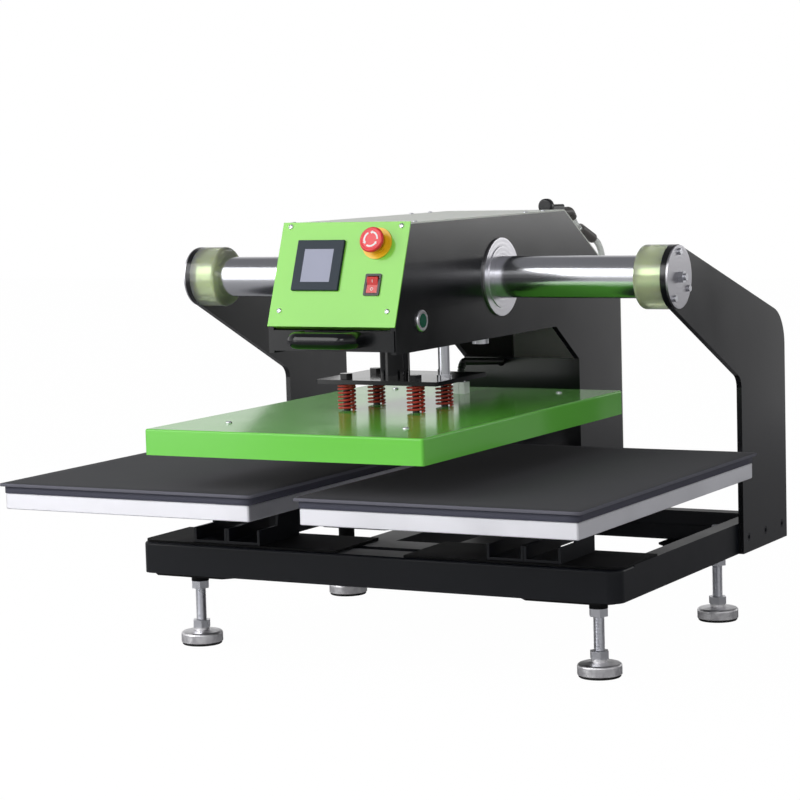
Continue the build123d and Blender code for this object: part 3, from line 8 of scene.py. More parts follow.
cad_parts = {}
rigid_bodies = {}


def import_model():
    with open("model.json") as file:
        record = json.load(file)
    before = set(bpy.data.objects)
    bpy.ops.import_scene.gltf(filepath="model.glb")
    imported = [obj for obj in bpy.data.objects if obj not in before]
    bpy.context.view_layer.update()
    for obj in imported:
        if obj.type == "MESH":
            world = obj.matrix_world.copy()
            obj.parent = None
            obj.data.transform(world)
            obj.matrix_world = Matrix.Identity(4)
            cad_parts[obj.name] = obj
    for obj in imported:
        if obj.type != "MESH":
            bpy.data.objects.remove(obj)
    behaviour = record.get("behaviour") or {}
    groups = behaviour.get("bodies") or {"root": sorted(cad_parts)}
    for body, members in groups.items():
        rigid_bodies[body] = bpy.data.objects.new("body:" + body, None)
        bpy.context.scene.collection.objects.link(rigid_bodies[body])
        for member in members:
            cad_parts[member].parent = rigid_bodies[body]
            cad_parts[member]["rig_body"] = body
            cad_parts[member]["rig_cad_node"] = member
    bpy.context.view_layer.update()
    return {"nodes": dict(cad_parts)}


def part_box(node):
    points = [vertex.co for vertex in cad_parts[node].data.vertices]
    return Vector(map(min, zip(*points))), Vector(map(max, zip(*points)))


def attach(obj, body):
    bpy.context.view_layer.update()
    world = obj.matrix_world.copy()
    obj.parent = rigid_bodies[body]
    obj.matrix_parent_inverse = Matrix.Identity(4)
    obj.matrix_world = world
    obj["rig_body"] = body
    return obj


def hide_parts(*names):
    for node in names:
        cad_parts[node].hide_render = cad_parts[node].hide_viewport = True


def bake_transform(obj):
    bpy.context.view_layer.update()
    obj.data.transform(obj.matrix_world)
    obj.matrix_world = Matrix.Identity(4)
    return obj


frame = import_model()
nodes = frame["nodes"]
scene = bpy.context.scene

# Places on the machine, in metres
head_x = 0.020
tube_y, tube_z = 0.002, 0.539
up = Vector((0, 0, 1))
panel_foot = Vector((head_x, -0.316, 0.4903))
panel_up = Vector((0, 0.353802, 0.93532))
panel_out = Vector((0, -0.93532, 0.353802))
estop_x, estop_up = 0.0538, 0.117078


# Camera: a long lens a little above the plates, to the right of the machine's front
camera_place = Vector((1.72236, -3.21824, 0.72938))
camera_yaw, camera_down, camera_roll = 28.84, 5.78, -1.60
camera_lens, film_width = 112.86, 36.0


def camera_at_photo():
    yaw, down, roll = (math.radians(a) for a in (camera_yaw, camera_down, camera_roll))
    ahead = Vector((-math.sin(yaw) * math.cos(down), math.cos(yaw) * math.cos(down), -math.sin(down)))
    right = Vector((math.cos(yaw), math.sin(yaw), 0))
    above = right.cross(ahead)
    cam_x = right * math.cos(roll) + above * math.sin(roll)
    cam_y = above * math.cos(roll) - right * math.sin(roll)
    turn = Matrix((cam_x, cam_y, -ahead)).transposed().to_4x4()
    data = bpy.data.cameras.new("camera")
    data.sensor_width = film_width
    data.lens = camera_lens
    data.clip_start, data.clip_end = 0.1, 60
    cam = bpy.data.objects.new("camera", data)
    cam.matrix_world = Matrix.Translation(camera_place) @ turn
    scene.collection.objects.link(cam)
    scene.camera = cam


camera_at_photo()


# Colours and nodes
def colour(code):
    parts = [int(code[i:i + 2], 16) / 255 for i in (1, 3, 5)]
    return [p / 12.92 if p <= 0.04045 else ((p + 0.055) / 1.055) ** 2.4 for p in parts] + [1.0]


def add_node(tree, kind, settings=None, links=None):
    node = tree.nodes.new(kind)
    for key, value in (settings or {}).items():
        if key in node.inputs:
            node.inputs[key].default_value = value
        else:
            setattr(node, key, value)
    for key, source in (links or {}).items():
        tree.links.new(source, node.inputs[key])
    return node


# A noise texture mostly stays between these values
noise_low, noise_high = 0.3, 0.7
# Spacing of a wave texture's rings at scale 1, in mm
wave_ring_mm = 314


def finish(name, base, roughness, metallic=0.0, spread=0.015, tint=0.02, grain_mm=1.0,
           relief_mm=0.002, squeeze=(1, 1, 1), smudge_mm=90.0, lathe_mm=0.0, **shader_settings):
    """A surface with a fine grain, and a broad smudge that changes its gloss and shade a little.

    The grain has a size and a height in mm, and squeeze draws it out along an axis. With lathe_mm
    there are rings of that spacing, turned round the guide tube's axis.
    """
    made = bpy.data.materials.new(name)
    made.use_nodes = True
    tree = made.node_tree
    tree.nodes.clear()
    place = add_node(tree, "ShaderNodeTexCoord")
    stretch = add_node(tree, "ShaderNodeMapping", {"Scale": squeeze},
                       {"Vector": place.outputs["Object"]})
    fine = add_node(tree, "ShaderNodeTexNoise", {"Scale": 1000 / grain_mm, "Detail": 2.0},
                    {"Vector": stretch.outputs["Vector"]})
    broad = add_node(tree, "ShaderNodeTexNoise", {"Scale": 1000 / smudge_mm, "Detail": 2.0},
                     {"Vector": place.outputs["Object"]})
    gloss = add_node(tree, "ShaderNodeMapRange",
                     {"From Min": noise_low, "From Max": noise_high,
                      "To Min": max(0.0, roughness - spread), "To Max": roughness + spread},
                     {"Value": broad.outputs["Fac"]})
    shade = add_node(tree, "ShaderNodeMix", {"data_type": "RGBA"}, {"Factor": broad.outputs["Fac"]})
    darker, paler = shade.inputs[6], shade.inputs[7]
    darker.default_value = [c * (1 - tint) for c in colour(base)[:3]] + [1]
    paler.default_value = [min(1.0, c * (1 + tint)) for c in colour(base)[:3]] + [1]
    height = fine.outputs["Fac"]
    if lathe_mm:
        centred = add_node(tree, "ShaderNodeMapping", {"Location": (0, -tube_y, -tube_z)},
                           {"Vector": place.outputs["Object"]})
        rings = add_node(tree, "ShaderNodeTexWave",
                         {"wave_type": "RINGS", "rings_direction": "X",
                          "Scale": wave_ring_mm / lathe_mm, "Distortion": 0.4},
                         {"Vector": centred.outputs["Vector"]})
        both = add_node(tree, "ShaderNodeMath", {"operation": "ADD"},
                        {0: fine.outputs["Fac"], 1: rings.outputs["Fac"]})
        height = both.outputs[0]
    relief = add_node(tree, "ShaderNodeBump", {"Strength": 1.0, "Distance": relief_mm / 1000},
                      {"Height": height})
    shader = add_node(tree, "ShaderNodeBsdfPrincipled", {"Metallic": metallic, **shader_settings},
                      {"Base Color": shade.outputs[2], "Roughness": gloss.outputs["Result"],
                       "Normal": relief.outputs["Normal"]})
    add_node(tree, "ShaderNodeOutputMaterial", links={"Surface": shader.outputs["BSDF"]})
    return made


# Sheet steel in gloss lime paint, sprayed smooth: clear reflections at a low angle
lime_paint = finish("lime_gloss_paint", "#76d850", 0.13, spread=0.02, tint=0.01, grain_mm=3.0,
                    relief_mm=0.002, IOR=1.5)
# The tilted panel's coat of the same paint, a little yellower and paler: the difference is painted
# sheen, standing in for the light that the tilted panel catches
panel_paint_and_painted_light = finish("lime_paint_with_painted_light", "#8ada50", 0.14, spread=0.02, tint=0.01, grain_mm=3.0,
                     relief_mm=0.002, IOR=1.5)
# Steel plate in black powder coat: a soft sheen over a very fine peel
black_coat = finish("black_powder_coat", "#101114", 0.20, spread=0.02, tint=0.04, grain_mm=1.2,
                    relief_mm=0.003, IOR=1.5)
# Welded base, its pedestals and their screws in a bluer black, less shiny
base_coat = finish("black_base_coat", "#080c14", 0.42, spread=0.03, tint=0.05, grain_mm=1.6,
                   relief_mm=0.003, IOR=1.5, **{"Specular IOR Level": 0.32})
# Sheet deck under the plates, black and left matt
deck_coat = finish("black_deck_coat", "#0a0b0d", 0.68, spread=0.04, tint=0.05, grain_mm=1.6,
                   relief_mm=0.003, IOR=1.5, **{"Specular IOR Level": 0.18})
# Spring plate, its hub and the bolts in gloss black: sharp small highlights
black_gloss = finish("black_gloss_paint", "#0c0d10", 0.13, spread=0.02, tint=0.04, grain_mm=2.0,
                     relief_mm=0.001, IOR=1.5)
# Handle of bent steel bar, gloss black worn a little duller by hands
handle_coat = finish("black_handle_coat", "#0c0d11", 0.15, spread=0.03, tint=0.04, grain_mm=2.0,
                     relief_mm=0.001, IOR=1.5, **{"Specular IOR Level": 0.42})
# Sheet steel covers in light grey paint, satin
grey_paint = finish("light_grey_paint", "#e8ede3", 0.36, spread=0.03, tint=0.01, grain_mm=1.4,
                    relief_mm=0.003, IOR=1.5)
# Aluminium tooling plate: pale satin edges milled along their length
milled_aluminium = finish("milled_aluminium", "#f6f6fb", 0.46, metallic=1.0, spread=0.05, tint=0.03,
                          grain_mm=0.9, relief_mm=0.004, squeeze=(0.02, 0.02, 1.0))
# Heat plate of cast aluminium, ground to an even grey
ground_aluminium = finish("ground_aluminium", "#b9b9bc", 0.42, metallic=1.0, spread=0.05,
                          grain_mm=1.5, relief_mm=0.004)
# Steel tube and rods, ground and hard chromed: near mirror with a trace of grinding round them
hard_chrome = finish("hard_chrome", "#e2e3e8", 0.19, metallic=1.0, spread=0.01, tint=0.01,
                     grain_mm=0.5, relief_mm=0.02, squeeze=(1, 0.03, 0.03))
# Screws, studs, nuts and cable glands in bright zinc
zinc_plate = finish("zinc_plate", "#dedfe4", 0.30, metallic=1.0, spread=0.05, tint=0.04,
                    grain_mm=0.7, relief_mm=0.002)
# Foot discs, cast and machined, patchy and left bright
foot_steel = finish("machined_foot_steel", "#f4f2f7", 0.40, metallic=1.0, spread=0.10, tint=0.18,
                    grain_mm=1.6, relief_mm=0.06, smudge_mm=9.0)
# Turned steel flanges and button rims: satin rings from the lathe
turned_steel = finish("turned_steel", "#e6e5ea", 0.30, metallic=1.0, spread=0.05, tint=0.04,
                      grain_mm=0.9, relief_mm=0.03, lathe_mm=6.28)
# Discs over the tube's ends: the same turning on darker steel
disc_steel = finish("turned_dark_steel", "#c2c1c6", 0.32, metallic=1.0, spread=0.05, tint=0.04,
                    grain_mm=0.9, relief_mm=0.03, lathe_mm=6.28)
# Silicone sponge pad: dull blue-black skin with fine pores
silicone_sponge = finish("silicone_sponge", "#454654", 0.70, spread=0.04, tint=0.04, grain_mm=1.1,
                         relief_mm=0.03)
# Felt cover pad: dark grey, matt, with a fine nap
felt = finish("grey_felt", "#35353b", 0.88, spread=0.03, tint=0.06, grain_mm=1.0, relief_mm=0.07,
              squeeze=(0.12, 1, 1), smudge_mm=120.0,
              **{"Sheen Weight": 0.05, "Sheen Roughness": 0.5})
# The felt's cut edge, a little paler
felt_edge = finish("felt_cut_edge", "#686872", 0.9, spread=0.03, tint=0.06, grain_mm=0.9,
                   relief_mm=0.06)
# Soles of the feet in dull black rubber
foot_rubber = finish("black_rubber", "#161616", 0.75, spread=0.04, grain_mm=0.8, relief_mm=0.01)
# Bumpers of cast polyurethane, yellow-green, half clear and wet-looking
clear_urethane = finish("clear_polyurethane", "#eefcd4", 0.08, spread=0.02, tint=0.03, grain_mm=4.0,
                        relief_mm=0.003, IOR=1.5,
                        **{"Transmission Weight": 0.72, "Subsurface Weight": 0.8,
                           "Subsurface Scale": 0.03, "Subsurface Radius": (1.0, 1.0, 0.6)})
# Moulded ABS, black with a fine spark texture
black_abs = finish("black_abs", "#15161a", 0.34, spread=0.02, grain_mm=0.5, relief_mm=0.004,
                   IOR=1.5)
# Screen housing, dark blue-black and nearly matt
screen_plastic = finish("screen_housing", "#1f2c38", 0.45, spread=0.02, grain_mm=0.5,
                        relief_mm=0.004, IOR=1.45, **{"Specular IOR Level": 0.3})
# Conduit of black nylon, slightly shiny on its ribs
black_nylon = finish("black_nylon", "#101013", 0.30, spread=0.02, grain_mm=0.7, relief_mm=0.003,
                     IOR=1.53)
# Screen under glass: grey-lilac, faintly lit, glossy
display_glass = finish("display_glass", "#7f8399", 0.10, spread=0.01, tint=0.06, grain_mm=0.4,
                       relief_mm=0.0, smudge_mm=40.0, IOR=1.5,
                       **{"Emission Color": colour("#8e93ab"), "Emission Strength": 0.12})
# Yellow ring under the emergency stop, gloss plastic
yellow_plastic = finish("yellow_plastic", "#ffc922", 0.30, spread=0.02, grain_mm=0.8,
                        relief_mm=0.002, IOR=1.5)
# Red moulded cap, gloss, a little soft in the light
red_plastic = finish("red_plastic", "#e8323c", 0.24, spread=0.02, tint=0.02, grain_mm=0.8,
                     relief_mm=0.001, IOR=1.5,
                     **{"Subsurface Weight": 0.3, "Subsurface Scale": 0.004})
# Red polycarbonate rocker, gloss, light going a little way in
red_clear = finish("red_polycarbonate", "#cf1e1a", 0.22, spread=0.02, tint=0.02, grain_mm=0.8,
                   relief_mm=0.001, IOR=1.58,
                   **{"Subsurface Weight": 0.2, "Subsurface Scale": 0.003})
# Dark green button caps, gloss
green_plastic = finish("dark_green_plastic", "#0c5f49", 0.20, spread=0.02, grain_mm=0.8,
                       relief_mm=0.001, IOR=1.5)
# White ink marks, matt
white_ink = finish("white_ink", "#f2eeee", 0.5, grain_mm=0.5, relief_mm=0.001, IOR=1.5)
# Spring steel in thin red paint, uneven along the wire
spring_paint = finish("red_spring_paint", "#c03a30", 0.30, spread=0.05, tint=0.12, grain_mm=1.0,
                      relief_mm=0.006, smudge_mm=6.0, IOR=1.5)
# Mineral fibre board, pale and dusty
fibre_board = finish("mineral_fibre_board", "#cfc8b4", 0.95, grain_mm=1.5, relief_mm=0.05)
# Clear polyurethane hose, glossy and milky
clear_hose = finish("clear_hose", "#eef1ee", 0.15, grain_mm=2.0, relief_mm=0.001, IOR=1.5,
                    **{"Transmission Weight": 0.5})
# Grey-brown fitting plastic, satin
fitting_plastic = finish("grey_fitting_plastic", "#5d5956", 0.38, grain_mm=0.7, relief_mm=0.003,
                         IOR=1.5)
# White glazed ceramic terminal, shiny
white_ceramic = finish("white_ceramic", "#f6f8f8", 0.22, spread=0.02, tint=0.01, grain_mm=1.0,
                       relief_mm=0.002, IOR=1.5)
# Nylon rollers, off-white and satin
white_nylon = finish("white_nylon", "#dcdcd6", 0.45, grain_mm=0.7, relief_mm=0.003, IOR=1.53)

worn_by = {
    lime_paint: ["platen_cover"],
    panel_paint_and_painted_light: ["control_panel"],
    black_coat: ["side_plate_left", "side_plate_right", "head_plate_left", "head_plate_right",
                 "head_floor", "column_cover", "column_foot", "front_lip"],
    base_coat: ["base_frame", "pedestals", "base_screws"],
    deck_coat: ["base_plates"],
    black_gloss: ["spring_plate", "spring_bolts"],
    handle_coat: ["handle"],
    grey_paint: ["top_cover", "rear_cover"],
    milled_aluminium: ["lower_plates", "cylinder"],
    ground_aluminium: ["heat_plate"],
    hard_chrome: ["guide_tube", "piston_rod", "guide_rod"],
    zinc_plate: ["foot_studs", "end_disc_bolts", "head_screws", "handle_screws", "platen_screws",
                 "cable_glands"],
    foot_steel: ["foot_discs"],
    turned_steel: ["flange_bearings", "start_button_bezels"],
    disc_steel: ["end_discs"],
    foot_rubber: ["foot_rubbers"],
    clear_urethane: ["bumpers"],
    screen_plastic: ["touch_screen"],
    black_abs: ["estop_body", "rocker_housing", "estop_plunger", "regulator_knob", "air_regulator",
                "valve_block"],
    black_nylon: ["conduit"],
    display_glass: ["screen_glass"],
    yellow_plastic: ["estop_ring"],
    red_plastic: ["estop_cap"],
    red_clear: ["power_rocker"],
    green_plastic: ["start_button_left", "start_button_right"],
    spring_paint: ["press_springs"],
    fibre_board: ["insulation"],
    clear_hose: ["air_hose"],
    fitting_plastic: ["air_fittings"],
    white_ceramic: ["terminal_block"],
    white_nylon: ["guide_roller_front", "guide_roller_rear"],
    silicone_sponge: ["silicone_pads"],
    felt: ["cover_sheets"],
}
for material, names in worn_by.items():
    for name in names:
        nodes[name].data.materials.clear()
        nodes[name].data.materials.append(material)


# Soft pads and felt covers of the two lower stations
slab_columns, slab_rows = 26, 38
foot_chamfer, ripple_scale, steep = 0.3, 9.0, 0.75


def rounded_slab(name, low, high, edge, ripple, top_finish, side_finish):
    """A soft flat pad: a gently uneven top, rounded edges and a flat underside."""
    mesh = bmesh.new()
    width, depth, thick = high - low
    middle = (low + high) / 2

    def add_point(i, j, out=0, drop=0):
        """A point of the top's grid. One on its rim goes out and down by so many edge radii."""
        side_x, side_y = (i == slab_columns) - (i == 0), (j == slab_rows) - (j == 0)
        x = (width - 2 * edge) * (i / slab_columns - 0.5) + side_x * edge * out
        y = (depth - 2 * edge) * (j / slab_rows - 0.5) + side_y * edge * out
        return mesh.verts.new((middle.x + x, middle.y + y, high.z - edge * drop))

    columns, rows = range(slab_columns), range(slab_rows)
    grid = [[add_point(i, j) for j in range(slab_rows + 1)] for i in range(slab_columns + 1)]
    for i in columns:
        for j in rows:
            mesh.faces.new((grid[i][j], grid[i + 1][j], grid[i + 1][j + 1], grid[i][j + 1]))
    rim = [(i, 0) for i in columns] + [(slab_columns, j) for j in rows]
    rim += [(slab_columns - i, slab_rows) for i in columns] + [(0, slab_rows - j) for j in rows]
    arc = [math.radians(a) for a in (30, 60, 90)]
    steps = [(math.sin(a), 1 - math.cos(a)) for a in arc]
    steps += [(1, thick / edge / 2), (1, thick / edge - foot_chamfer),
              (1 - foot_chamfer, thick / edge)]
    loops = [[grid[i][j] for i, j in rim]]
    loops += [[add_point(i, j, out, drop) for i, j in rim] for out, drop in steps]
    for v in loops[1] + [v for line in grid for v in line]:
        v.co.z -= ripple * (0.5 + 0.5 * noise.noise(v.co * ripple_scale))
    for near, far in zip(loops, loops[1:]):
        for k in range(len(rim)):
            mesh.faces.new((near[k - 1], near[k], far[k], far[k - 1]))
    mesh.faces.new(loops[-1])
    bmesh.ops.recalc_face_normals(mesh, faces=mesh.faces)
    data = bpy.data.meshes.new(name)
    mesh.to_mesh(data)
    mesh.free()
    data.materials.append(top_finish)
    data.materials.append(side_finish)
    for face in data.polygons:
        face.use_smooth = True
        face.material_index = 1 if abs(face.normal.z) < steep else 0
    made = bpy.data.objects.new(name, data)
    scene.collection.objects.link(made)
    return made


for node, slot, slab_width, edge, ripple, top_finish, side_finish in (
    ("silicone_pads", "silicone", 0.400, 0.0016, 0.0001, silicone_sponge, silicone_sponge),
    ("cover_sheets", "sheet", 0.410, 0.0012, 0.0006, felt, felt_edge),
):
    low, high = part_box(node)
    for station, x0 in (("left", low.x), ("right", high.x - slab_width)):
        piece = rounded_slab(node + "_" + station, Vector((x0, low.y, low.z)),
                             Vector((x0 + slab_width, high.y, high.z)),
                             edge, ripple, top_finish, side_finish)
        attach(piece, "base")
        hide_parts(node)


# Springs and conduit bend with the press, so they are shown as copies, taken off their body with their
# place baked in
def follow_two(node, name):
    piece = nodes[node].copy()
    piece.data = nodes[node].data.copy()
    piece.name = name
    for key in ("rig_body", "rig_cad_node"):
        del piece[key]
    piece.parent = None
    scene.collection.objects.link(piece)
    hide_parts(node)
    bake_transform(piece)


follow_two("press_springs", "red_press_springs")
follow_two("conduit", "corrugated_conduit")


# Pieces finer than the solids they stand for
def add_piece(name, mesh, material, body, slot, *replaced):
    """Turns a bmesh into a piece that rides on a body, in the place of the nodes named."""
    bmesh.ops.recalc_face_normals(mesh, faces=mesh.faces)
    data = bpy.data.meshes.new(name)
    mesh.to_mesh(data)
    mesh.free()
    data.materials.append(material)
    piece = bpy.data.objects.new(name, data)
    scene.collection.objects.link(piece)
    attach(piece, body)
    if replaced:
        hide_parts(*replaced)


def skin(mesh, rings, holed=False):
    """Joins rings of points by faces. The ends are closed, or joined to each other round a hole."""
    loops = [[mesh.verts.new(p) for p in ring] for ring in rings]
    for near, far in zip(loops, loops[1:] + loops[:1] if holed else loops[1:]):
        for i in range(len(near)):
            j = (i + 1) % len(near)
            mesh.faces.new((near[i], near[j], far[j], far[i]))
    if not holed:
        mesh.faces.new(loops[0])
        mesh.faces.new(loops[-1])


def turned(mesh, profile, at, axis, holed=False, sides=64):
    """A lathed form from (radius, height) pairs along an axis."""
    across = axis.orthogonal().normalized()
    along = axis.cross(across)
    turns = [2 * math.pi * i / sides for i in range(sides)]
    round_axis = [across * math.cos(t) + along * math.sin(t) for t in turns]
    skin(mesh, [[at + way * r + axis * h for way in round_axis] for r, h in profile], holed)


def welded_copy(node):
    """The node's mesh, with the points joined that its faces share."""
    mesh = bmesh.new()
    mesh.from_mesh(nodes[node].data)
    bmesh.ops.remove_doubles(mesh, verts=mesh.verts, dist=1e-6)
    return mesh


def islands(mesh):
    """The separate solids of a mesh, each as its list of faces."""
    left = dict.fromkeys(mesh.faces)
    groups = []
    while left:
        seed = next(iter(left))
        del left[seed]
        group, edge = [seed], [seed]
        while edge:
            for e in edge.pop().edges:
                for other in e.link_faces:
                    if other in left:
                        del left[other]
                        group.append(other)
                        edge.append(other)
        groups.append(group)
    return groups


# Levelling studs with their real thread; their nuts as they are
stud_r, stud_pitch, thread_depth, stud_sides = 0.008, 0.002, 0.0011, 20
steps_per_turn, lead_in_steps, shortest_stud = 4, 6, 0.05


def thread_studs():
    welded = welded_copy("foot_studs")
    made = bmesh.new()
    for group in islands(welded):
        points = [v.co for f in group for v in f.verts]
        low = Vector(min(p[i] for p in points) for i in range(3))
        high = Vector(max(p[i] for p in points) for i in range(3))
        length = high.z - low.z
        if length < shortest_stud:
            fresh = {v: made.verts.new(v.co) for v in dict.fromkeys(v for f in group for v in f.verts)}
            for f in group:
                made.faces.new([fresh[v] for v in f.verts])
            continue
        middle = (low + high) / 2
        steps = round(length / (stud_pitch / steps_per_turn))
        rings = []
        for k in range(steps + 1):
            rise = length * k / steps
            lead_in = min(1.0, k / lead_in_steps, (steps - k) / lead_in_steps)
            ring = []
            for i in range(stud_sides):
                turn = i / stud_sides
                phase = (rise / stud_pitch - turn) % 1.0
                r = stud_r - thread_depth * max(2 * abs(phase - 0.5), 1 - lead_in)
                a = 2 * math.pi * turn
                ring.append((middle.x + r * math.cos(a), middle.y + r * math.sin(a), low.z + rise))
            rings.append(ring)
        skin(made, rings)
    welded.free()
    add_piece("threaded_levelling_studs", made, zinc_plate, "base", "zinc", "foot_studs")


thread_studs()


# Dome screws with a cross recess: on the control panel, on the top cover and on the heated plate
def on_panel(x, rise, out):
    return panel_foot + Vector((x, 0, 0)) + panel_up * rise + panel_out * out


screw_sides = 48
wall_share, dome_fullness = 0.25, 0.8
dome_angles = (20, 35, 48, 56, 62, 67, 71, 74, 77, 80, 82, 84, 86, 88)
cross_half_width, cross_reach, cross_depth = 0.17, 0.62, 0.55


def cross_screws(name, seats, head_r, head_h, shank_r, shank_len, body, replaced):
    """The head has a straight wall, then a dome, with a cross pressed into it."""
    made = bmesh.new()
    profile = [(shank_r, -shank_len), (shank_r, 0), (head_r, 0), (head_r, wall_share * head_h)]
    for a in dome_angles:
        dome = wall_share + (1 - wall_share) * math.sin(math.radians(a)) ** dome_fullness
        profile.append((head_r * math.cos(math.radians(a)), head_h * dome))
    for seat, axis in seats:
        across = axis.orthogonal().normalized()
        along = axis.cross(across)
        rings = []
        for r, h in profile:
            ring = []
            for i in range(screw_sides):
                a = 2 * math.pi * i / screw_sides
                u, v = r * math.cos(a), r * math.sin(a)
                near, far = sorted((abs(u), abs(v)))
                in_cross = near < cross_half_width * head_r and far < cross_reach * head_r
                lift = h - cross_depth * head_h if in_cross and h > 0.5 * head_h else h
                ring.append(seat + across * u + along * v + axis * lift)
            rings.append(ring)
        skin(made, rings)
    add_piece(name, made, zinc_plate, body, "zinc", replaced)


both_sides = (-1, 1)
cover_screw_z, plate_screw_z = 0.6275, 0.3615
panel_seats = [(on_panel(side * x, rise, 0), panel_out)
               for x, rise in ((0.084, 0.022), (0.0865, 0.142)) for side in both_sides]
cover_seats = [(Vector((head_x + side * 0.095, y, cover_screw_z)), up)
               for side in both_sides for y in (-0.244, 0.097, 0.157)]
plate_seats = [(Vector((head_x + side * 0.137, y, plate_screw_z)), up)
               for side in both_sides for y in (-0.362, 0.109)]
cross_screws("cross_recess_head_screws", panel_seats + cover_seats, head_r=0.0036, head_h=0.0018,
             shank_r=0.002, shank_len=0.007, body="head", replaced="head_screws")
cross_screws("cross_recess_plate_screws", plate_seats, head_r=0.0045, head_h=0.0026,
             shank_r=0.004, shank_len=0.012, body="upper_plate", replaced="platen_screws")

# Mushroom cap of the emergency stop: it flares to a rounded rim round a slightly sunk top
cap_foot, cap_rim, cap_top = 0.0107, 0.0205, 0.0201
cap_profile = (
    (0.0072, cap_foot + 0.0006), (0.0140, cap_foot), (0.0154, cap_foot + 0.0008),
    (0.0170, cap_foot + 0.0034), (0.0176, cap_foot + 0.0052), (0.0178, cap_foot + 0.0066),
    (0.0175, cap_foot + 0.0080), (0.0167, cap_foot + 0.0092), (0.0157, cap_rim - 0.0001),
    (0.0148, cap_rim), (0.0138, cap_rim - 0.0002), (0.0132, cap_top), (0.0070, cap_top),
    (0.0008, cap_top),
)
mushroom = bmesh.new()
turned(mushroom, cap_profile, on_panel(estop_x, estop_up, 0), panel_out)
add_piece("estop_mushroom_cap", mushroom, red_plastic, "estop_cap_body", "red", "estop_cap")

# Printed marks, raised by the ink's thickness
ink_low, ink_high = 0.00002, 0.00015


def flat_mark(mesh, outline, place):
    """A thin raised mark from an outline, put in place by a function of (x, y, height)."""
    low = [mesh.verts.new(place(x, y, ink_low)) for x, y in outline]
    high = [mesh.verts.new(place(x, y, ink_high)) for x, y in outline]
    mesh.faces.new(low)
    mesh.faces.new(high)
    for i in range(len(low)):
        j = (i + 1) % len(low)
        mesh.faces.new((low[i], low[j], high[j], high[i]))


def spoke(radius, degrees):
    return radius * math.cos(math.radians(degrees)), radius * math.sin(math.radians(degrees))


# Three turn-to-release arrows on the cap's top
arrow_inner, arrow_outer, arrow_sweep, arrow_steps = 0.0086, 0.0110, 82, 20
barb_inner, barb_outer, barb_tip, barb_from, barb_to = 0.0072, 0.0124, 0.0098, 83, 102


def on_cap(x, y, h):
    return on_panel(estop_x + x, estop_up + y, cap_top + h)


arrows = bmesh.new()
for start in (0, 120, 240):
    bend = [start + arrow_sweep * i / arrow_steps for i in range(arrow_steps + 1)]
    shaft = [spoke(arrow_outer, a) for a in bend] + [spoke(arrow_inner, a) for a in reversed(bend)]
    flat_mark(arrows, shaft, on_cap)
    flat_mark(arrows, [spoke(barb_inner, start + barb_from), spoke(barb_outer, start + barb_from),
                       spoke(barb_tip, start + barb_to)], on_cap)
add_piece("release_arrows", arrows, white_ink, "estop_cap_body", "white_ceramic")

# An O on the rocker's lower face and an I on its upper face
o_inner, o_outer, i_half_width, i_half_height = 0.0015, 0.0022, 0.0004, 0.0022
# Cosines that tell its faces apart: turned outward, of two planes, and of one plane
outward, two_planes, one_plane = 0.8, 0.995, 0.9999


def mark_rocker():
    welded = welded_copy("power_rocker")
    faces = [f for f in welded.faces if f.normal.dot(panel_out) > outward]
    faces.sort(key=lambda f: -f.calc_area())
    first = faces[0]
    second = next(f for f in faces if f.normal.dot(first.normal) < two_planes)
    halves = []
    for lead in (first, second):
        flat = [f for f in faces if f.normal.dot(lead.normal) > one_plane]
        area = sum(f.calc_area() for f in flat)
        weighted = sum((f.calc_center_median() * f.calc_area() for f in flat), Vector())
        halves.append((weighted / area, lead.normal.copy()))
    welded.free()
    halves.sort(key=lambda half: half[0].z)
    (low_middle, low_normal), (middle, normal) = halves
    marks = bmesh.new()
    o_section = [(o_inner, ink_low), (o_outer, ink_low), (o_outer, ink_high), (o_inner, ink_high)]
    turned(marks, o_section, low_middle, low_normal, holed=True)
    across = Vector((1, 0, 0))
    rise = normal.cross(across).normalized()
    rise = rise if rise.z > 0 else -rise
    flat_mark(marks, [(-i_half_width, -i_half_height), (i_half_width, -i_half_height),
                      (i_half_width, i_half_height), (-i_half_width, i_half_height)],
              lambda x, y, h: middle + across * x + rise * y + normal * h)
    add_piece("rocker_marks", marks, white_ink, "rocker", "white_ceramic")


mark_rocker()


# White floor: to the lens it is plain white, and to the machine a pale grey matt sheet
def lay_floor(reach=9.0, glow_share=0.96, glow_strength=1.03):
    floor_mesh = bpy.data.meshes.new("floor")
    corners = [(-reach, -reach, 0), (reach, -reach, 0), (reach, reach, 0), (-reach, reach, 0)]
    floor_mesh.from_pydata(corners, [], [(0, 1, 2, 3)])
    floor = bpy.data.objects.new("floor", floor_mesh)
    scene.collection.objects.link(floor)
    white = bpy.data.materials.new("white_floor")
    white.use_nodes = True
    tree = white.node_tree
    tree.nodes.clear()
    seen = add_node(tree, "ShaderNodeLightPath")
    direct = add_node(tree, "ShaderNodeMath", {"operation": "MAXIMUM"},
                      {0: seen.outputs["Is Camera Ray"], 1: seen.outputs["Is Transmission Ray"]})
    share = add_node(tree, "ShaderNodeMath", {"operation": "MULTIPLY"}, {0: direct.outputs[0]})
    share.inputs[1].default_value = glow_share
    matt = add_node(tree, "ShaderNodeBsdfDiffuse", {"Color": colour("#bcbcbe")})
    glow = add_node(tree, "ShaderNodeEmission",
                    {"Color": colour("#ffffff"), "Strength": glow_strength})
    mixed = add_node(tree, "ShaderNodeMixShader",
                     links={0: share.outputs[0], 1: matt.outputs[0], 2: glow.outputs[0]})
    add_node(tree, "ShaderNodeOutputMaterial", links={"Surface": mixed.outputs[0]})
    floor_mesh.materials.append(white)


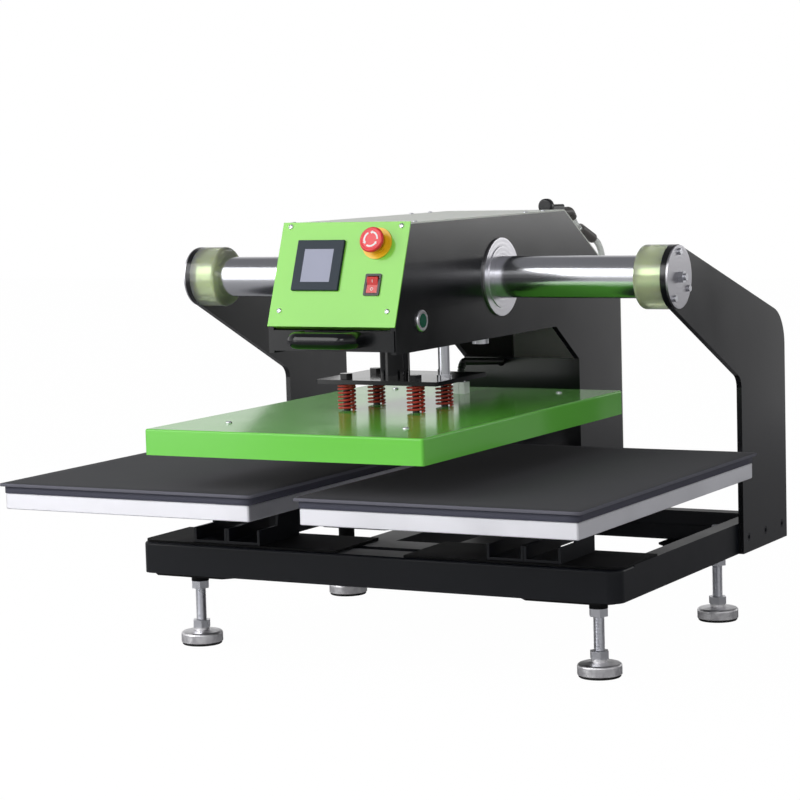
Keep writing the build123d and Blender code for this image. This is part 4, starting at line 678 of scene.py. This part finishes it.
# Room: white at the horizon, greyer overhead, and dimmer behind the machine on the right. The
# dimming starts some 57 degrees from that direction and is full some 32 degrees from it.
def light_room(white_to=0.20, grey_from=0.70, overhead_grey=(0.22, 0.22, 0.23, 1),
               rear_right=(0.48, 0.87, 0.0)):
    world = bpy.data.worlds.new("studio")
    scene.world = world
    world.use_nodes = True
    tree = world.node_tree
    tree.nodes.clear()
    seen = add_node(tree, "ShaderNodeLightPath")
    place = add_node(tree, "ShaderNodeTexCoord")
    split = add_node(tree, "ShaderNodeSeparateXYZ", links={"Vector": place.outputs["Generated"]})
    ramp = add_node(tree, "ShaderNodeValToRGB", links={"Fac": split.outputs["Z"]})
    horizon, overhead = ramp.color_ramp.elements
    horizon.position, horizon.color = white_to, (1, 1, 1, 1)
    overhead.position, overhead.color = grey_from, overhead_grey
    toward = add_node(tree, "ShaderNodeVectorMath", {"operation": "DOT_PRODUCT"},
                      {0: place.outputs["Generated"]})
    toward.inputs[1].default_value = rear_right
    dimmed = add_node(tree, "ShaderNodeMapRange",
                      {"From Min": 0.55, "From Max": 0.85, "To Min": 0.85, "To Max": 0.26},
                      {"Value": toward.outputs["Value"]})
    room = add_node(tree, "ShaderNodeBackground",
                    links={"Color": ramp.outputs["Color"], "Strength": dimmed.outputs["Result"]})
    plain = add_node(tree, "ShaderNodeBackground", {"Color": colour("#ffffff"), "Strength": 1.0})
    mixed = add_node(tree, "ShaderNodeMixShader",
                     links={0: seen.outputs["Is Camera Ray"], 1: room.outputs[0],
                            2: plain.outputs[0]})
    add_node(tree, "ShaderNodeOutputWorld", links={"Surface": mixed.outputs[0]})


# Soft lamps at the front, and pale cards that the machine's sides reflect
def hang_lamps():
    for name, at, aim, size, power in (
        ("front_left_softbox", (-1.80, -2.95, 2.25), (0, -0.2, 0.5), (3.0, 2.2), 72),
        ("front_right_softbox", (1.2, -3.4, 2.2), (0, 0, 0.4), (1.2, 1.2), 16),
        ("rear_right_card", (1.12, 3.0, 0.55), (1.1, 0, 0.5), (0.45, 1.1), 0.9),
        ("rear_right_high_card", (1.72, 3.0, 0.80), (0.4, 0, 0.6), (1.0, 0.6), 4.2),
        ("low_left_card", (-1.95, -2.5, 0.5), (-0.2, -0.3, 0.3), (1.1, 1.0), 5.5),
    ):
        data = bpy.data.lights.new(name, "AREA")
        data.shape = "RECTANGLE"
        data.size, data.size_y = size
        data.energy = power
        lamp = bpy.data.objects.new(name, data)
        lamp.location = at
        lamp.rotation_mode = "QUATERNION"
        lamp.rotation_quaternion = (Vector(at) - Vector(aim)).to_track_quat("Z", "Y")
        scene.collection.objects.link(lamp)


lay_floor()
light_room()
hang_lamps()
scene.view_settings.view_transform = "Standard"
